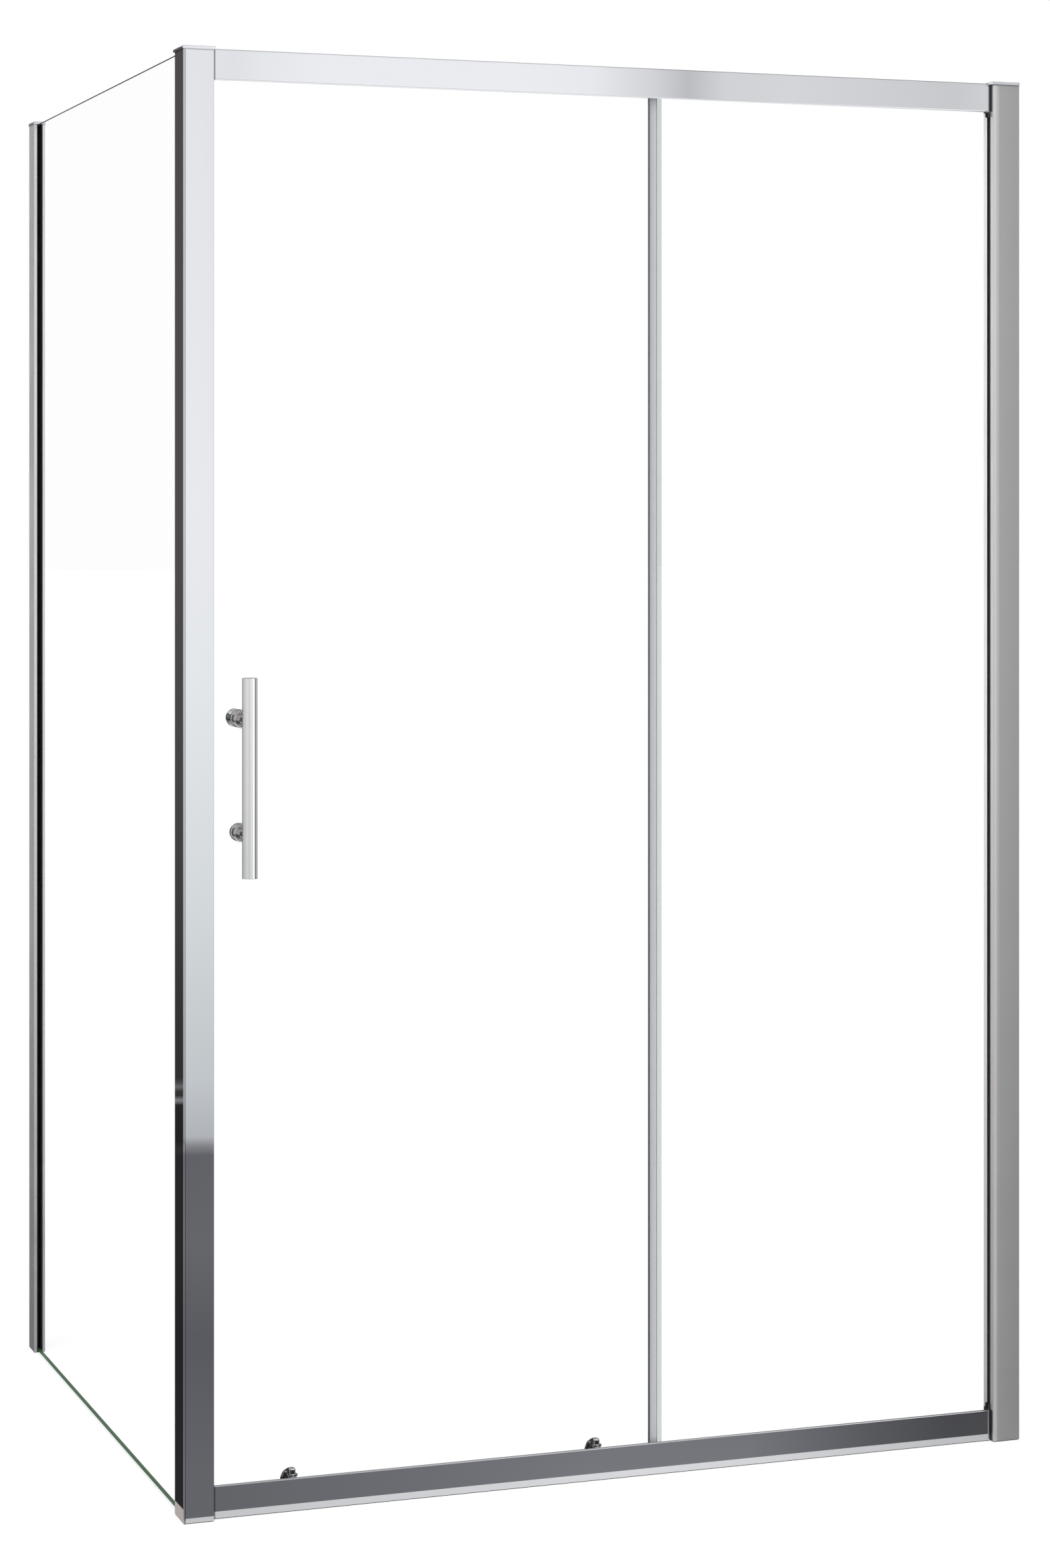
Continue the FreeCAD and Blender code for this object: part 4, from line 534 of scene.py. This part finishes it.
# The room that polished metal mirrors, by direction. A direction's rise is the sine of its angle above the
# level, and its turn is in degrees, with 0 to the front and 90 to the right. LEVELS goes by the rise, and
# the tones after it are shares of it that go by the turn.
LEVEL_RISE = (-0.5, 0.15)
LEVELS = [
    (-0.500, (0.900, 0.900, 0.930)), (-0.420, (0.900, 0.900, 0.930)), (-0.340, (0.150, 0.152, 0.165)),
    (-0.300, (0.138, 0.140, 0.155)), (-0.270, (0.138, 0.140, 0.155)), (-0.235, (0.110, 0.112, 0.127)),
    (-0.210, (0.143, 0.146, 0.155)), (-0.1832, (0.130, 0.133, 0.148)), (-0.1815, (0.470, 0.482, 0.512)),
    (-0.165, (0.580, 0.614, 0.642)), (-0.115, (0.716, 0.755, 0.779)), (-0.050, (0.853, 0.879, 0.905)),
    (0.000, (0.888, 0.897, 0.932)), (0.125, (0.828, 0.845, 0.880)),
]
WALLS_BEGIN = (-0.1832, -0.1815)
PALE_FLOOR_BEGINS = (-0.34, -0.42)

# The front, which the profiles' flat faces mirror to the camera, has finer tones than the rest.
FRONT = (10.0, 40.0)
WALLS_IN_FRONT = tones(
    (10.0, 1.10), (12.5, 1.0), (14.2, 1.0), (14.8, 0.97), (15.3, 1.03), (16.2, 1.08), (19.6, 1.08),
    (20.7, 1.05), (21.2, 0.95), (21.8, 0.82), (22.3, 0.65), (22.9, 0.83), (24.0, 0.86), (25.0, 0.82),
    (26.7, 0.75), (30.0, 1.10), (35.0, 1.25), (40.0, 1.25))
FLOOR_IN_FRONT = tones(
    (10.0, 1.0), (14.7, 1.0), (18.0, 1.2), (20.7, 1.45), (23.3, 1.45), (24.6, 1.05), (25.3, 0.83),
    (26.6, 0.58), (30.0, 0.55), (40.0, 0.6))
ROUND = (-180.0, 180.0)
WALLS_ROUND = tones(
    (-180.0, 0.75), (-172.0, 0.75), (-167.2, 0.085), (-162.0, 0.085), (-157.0, 0.90), (-153.0, 1.60),
    (-146.0, 1.60), (-139.0, 0.42), (-118.0, 0.58), (-96.0, 0.70), (-56.0, 0.90), (-20.0, 0.78),
    (0.0, 0.92), (10.0, 1.05), (25.0, 1.10), (45.0, 1.60), (58.0, 1.40), (64.0, 0.28), (84.0, 0.27),
    (94.0, 0.66), (130.0, 0.66), (150.0, 0.36), (180.0, 0.34))
FLOOR_ROUND = tones(
    (-180.0, 3.2), (-172.0, 3.2), (-167.2, 0.15), (-162.0, 0.15), (-156.0, 0.5), (-150.0, 0.8),
    (-130.0, 1.9), (-70.0, 1.9), (-50.0, 0.8), (150.0, 0.8), (180.0, 0.8))

# What the corner post's left side mirrors: between these turns the shares go by the rise instead.
DARK_BEGINS = (-168.5, -167.0)
DARK_ENDS = (-158.0, -162.0)
DARK_RISE = (-0.2, 0.12)
DARK = tones(
    (-0.200, 0.15), (-0.184, 0.15), (-0.181, 0.035), (-0.1712, 0.035), (-0.1704, 0.40), (-0.1694, 0.36),
    (-0.1688, 0.06), (-0.1674, 0.06), (-0.1666, 0.24), (-0.1655, 0.22), (-0.1648, 0.05), (-0.150, 0.052),
    (-0.100, 0.072), (0.000, 0.085), (0.120, 0.088), tint=(1.05, 0.98, 0.97))

SOFT_LIGHT = 0.5


def mirrored_room(tree):
    """The colour of the room in each direction."""
    x, y, rise = split(tree, node(tree, "ShaderNodeTexCoord").outputs["Generated"])
    turn = maths(tree, "ARCTAN2", x, maths(tree, "MULTIPLY", y, -1.0))
    turn = maths(tree, "MULTIPLY", turn, 180.0 / math.pi)
    past_start = maths(tree, "GREATER_THAN", turn, FRONT[0])
    in_front = maths(tree, "MULTIPLY", past_start, maths(tree, "LESS_THAN", turn, FRONT[1]))
    wall_share = blend_colours(tree, in_front, ramp(tree, turn, *ROUND, WALLS_ROUND),
                               ramp(tree, turn, *FRONT, WALLS_IN_FRONT))
    floor_share = blend_colours(tree, in_front, ramp(tree, turn, *ROUND, FLOOR_ROUND),
                                ramp(tree, turn, *FRONT, FLOOR_IN_FRONT))
    share = blend_colours(tree, between(tree, rise, *WALLS_BEGIN), floor_share, wall_share)
    share = blend_colours(tree, between(tree, rise, *PALE_FLOOR_BEGINS), share, grey(1.0))
    dark = maths(tree, "MULTIPLY", between(tree, turn, *DARK_BEGINS), between(tree, turn, *DARK_ENDS))
    share = blend_colours(tree, dark, share, ramp(tree, rise, *DARK_RISE, DARK))
    level = ramp(tree, rise, *LEVEL_RISE, LEVELS)
    return blend_colours(tree, 1.0, level, share, mode="MULTIPLY")


def room():
    """The world: white behind the object, even soft light on it, and a plain room in its polished faces."""
    world = bpy.data.worlds.new("studio")
    bpy.context.scene.world = world
    world.use_nodes = True
    tree = world.node_tree
    tree.nodes.clear()
    path = node(tree, "ShaderNodeLightPath").outputs
    soft = node(tree, "ShaderNodeBackground", {"Color": grey(SOFT_LIGHT), "Strength": 1.0})
    mirrored = node(tree, "ShaderNodeBackground", {"Color": mirrored_room(tree), "Strength": 1.0})
    white = node(tree, "ShaderNodeBackground", {"Color": grey(1.0), "Strength": 1.0})
    straight = maths(tree, "MAXIMUM", path["Is Camera Ray"], path["Is Transmission Ray"])
    lit = node(tree, "ShaderNodeMixShader",
               {0: path["Is Glossy Ray"], 1: soft.outputs[0], 2: mirrored.outputs[0]})
    whole = node(tree, "ShaderNodeMixShader", {0: straight, 1: lit.outputs[0], 2: white.outputs[0]})
    show(tree, node(tree, "ShaderNodeOutputWorld"), whole)


# ---------------------------------------------------------------- floor

def oblong(left, right, front, back):
    """Corners of a rectangle."""
    return [(left, front), (right, front), (right, back), (left, back)]


# Flat pieces that lie over each other have heights of their own.
FLOOR_HEIGHT = -0.0012
# Height of the painted contact shadow's sheets, each a step lower than the last.
CONTACT_SHADOW_HEIGHT = -0.0009
CONTACT_SHADOW_STEP = 0.00001
RIM_HEIGHT = -0.0006

FLOOR_REACH = 60.0
FRONT_RIM = [(-0.0195, -0.046), (1.153, -0.046), (1.1395, -0.0155), (-0.0195, -0.0155)]
SIDE_RIM = oblong(-0.035, -0.0205, -0.030, 0.080)
FRONT_RIM_SPAN = (0.0, 1.15)
FRONT_RIM_TONES = tones(
    (0.0, 0.60), (0.28, 0.68), (0.62, 0.76), (0.8, 0.72), (1.15, 0.53), tint=(0.99, 1.0, 1.03))
SIDE_RIM_TONE = (0.46, 0.41, 0.39)

# The left, right, front and back of the painted contact shadow under each foot.
FEET = {
    "bottom_rail": (-0.0195, 1.1795, -0.0145, 0.0085),
    "corner_post": (-0.0195, 0.0195, -0.0235, 0.0235),
    "wall_post": (1.1405, 1.1795, -0.0235, 0.0055),
    "side_wall_profile": (-0.0195, -0.0035, 0.9285, 0.9655),
}


def plane(name, corners, height, material):
    """A flat stage piece with the given (x, y) corners."""
    mesh = bpy.data.meshes.new(name)
    mesh.from_pydata([(x, y, height) for x, y in corners], [], [tuple(range(len(corners)))])
    piece = bpy.data.objects.new(name, mesh)
    bpy.context.scene.collection.objects.link(piece)
    mesh.materials.append(material)
    return piece


def floor():
    """A white floor that keeps a soft shadow."""
    made, tree, output = new_material("studio_floor")
    path = node(tree, "ShaderNodeLightPath").outputs
    shade = node(tree, "ShaderNodeBsdfDiffuse", {"Color": grey(0.34)})
    glow = node(tree, "ShaderNodeEmission", {"Color": grey(1.0), "Strength": 0.72})
    shown = node(tree, "ShaderNodeAddShader", {0: shade.outputs[0], 1: glow.outputs[0]})
    plain = node(tree, "ShaderNodeBsdfDiffuse", {"Color": grey(0.8)})
    whole = node(tree, "ShaderNodeMixShader",
                 {0: path["Is Camera Ray"], 1: plain.outputs[0], 2: shown.outputs[0]})
    show(tree, output, whole)
    piece = plane("floor", oblong(-FLOOR_REACH, FLOOR_REACH, -FLOOR_REACH, FLOOR_REACH), FLOOR_HEIGHT, made)
    piece.visible_glossy = False


def front_rim_tone(tree):
    """The front rim's colour, which changes along X."""
    return ramp(tree, split(tree, place(tree))[X], *FRONT_RIM_SPAN, FRONT_RIM_TONES)


def side_rim_tone(tree):
    """The side rim's colour, the same all over."""
    return paint(SIDE_RIM_TONE)


def rim(side, corners, tone):
    """A stretch of the tray's pale rim, which shows only where the profiles' feet mirror it."""
    made, tree, output = new_material(f"tray_rim_{side}")
    show(tree, output, node(tree, "ShaderNodeEmission", {"Color": tone(tree), "Strength": 1.0}))
    piece = plane(f"tray_rim_{side}", corners, RIM_HEIGHT, made)
    piece.visible_camera = False
    piece.visible_diffuse = False
    piece.visible_shadow = False
    piece.visible_transmission = False


def contact():
    """Painted shadow: dark sheets under the profiles' feet, where they stand on the tray."""
    made, tree, output = new_material("contact_shade")
    show(tree, output, node(tree, "ShaderNodeBsdfDiffuse", {"Color": grey(0.05)}))
    # Painted contact shadow: a dark sheet under each foot.
    for k, foot in enumerate(FEET.values()):
        shadow_sheet = plane(f"contact_shade_{k}", oblong(*foot), CONTACT_SHADOW_HEIGHT - CONTACT_SHADOW_STEP * k, made)
        shadow_sheet.visible_glossy = False


# ---------------------------------------------------------------- lamps and camera

def sun(name, azimuth, elevation, strength, softness):
    """A broad, far lamp that isn't mirrored in the metal. Azimuth 0 is in front, and 90 to the right."""
    lamp = bpy.data.lights.new(name, "SUN")
    lamp.energy = strength
    lamp.angle = math.radians(softness)
    piece = bpy.data.objects.new(name, lamp)
    bpy.context.scene.collection.objects.link(piece)
    turn, rise = math.radians(azimuth), math.radians(elevation)
    towards = Vector((math.sin(turn) * math.cos(rise), -math.cos(turn) * math.cos(rise), math.sin(rise)))
    piece.rotation_euler = towards.to_track_quat("Z", "Y").to_euler()
    piece.visible_glossy = False


def camera():
    """The photograph's viewpoint: level, with the frame shifted down."""
    lens = bpy.data.cameras.new("camera")
    lens.sensor_width = SENSOR_WIDTH
    lens.lens = FOCAL_PIXELS / IMAGE_HEIGHT * SENSOR_WIDTH
    lens.shift_y = (HORIZON_ROW - IMAGE_HEIGHT / 2.0) / IMAGE_HEIGHT
    lens.clip_end = FAR_CLIP
    piece = bpy.data.objects.new("camera", lens)
    bpy.context.scene.collection.objects.link(piece)
    piece.location = CAMERA_AT
    piece.rotation_euler = (math.radians(90.0), 0.0, math.radians(-CAMERA_YAW))
    bpy.context.scene.camera = piece


room()
floor()
rim("front", FRONT_RIM, front_rim_tone)
rim("side", SIDE_RIM, side_rim_tone)
contact()
sun("key", azimuth=-35.0, elevation=55.0, strength=0.95, softness=40.0)
sun("fill", azimuth=60.0, elevation=50.0, strength=0.55, softness=60.0)
sun("back", azimuth=170.0, elevation=60.0, strength=0.35, softness=60.0)
camera()
bpy.context.scene.view_settings.view_transform = "Standard"
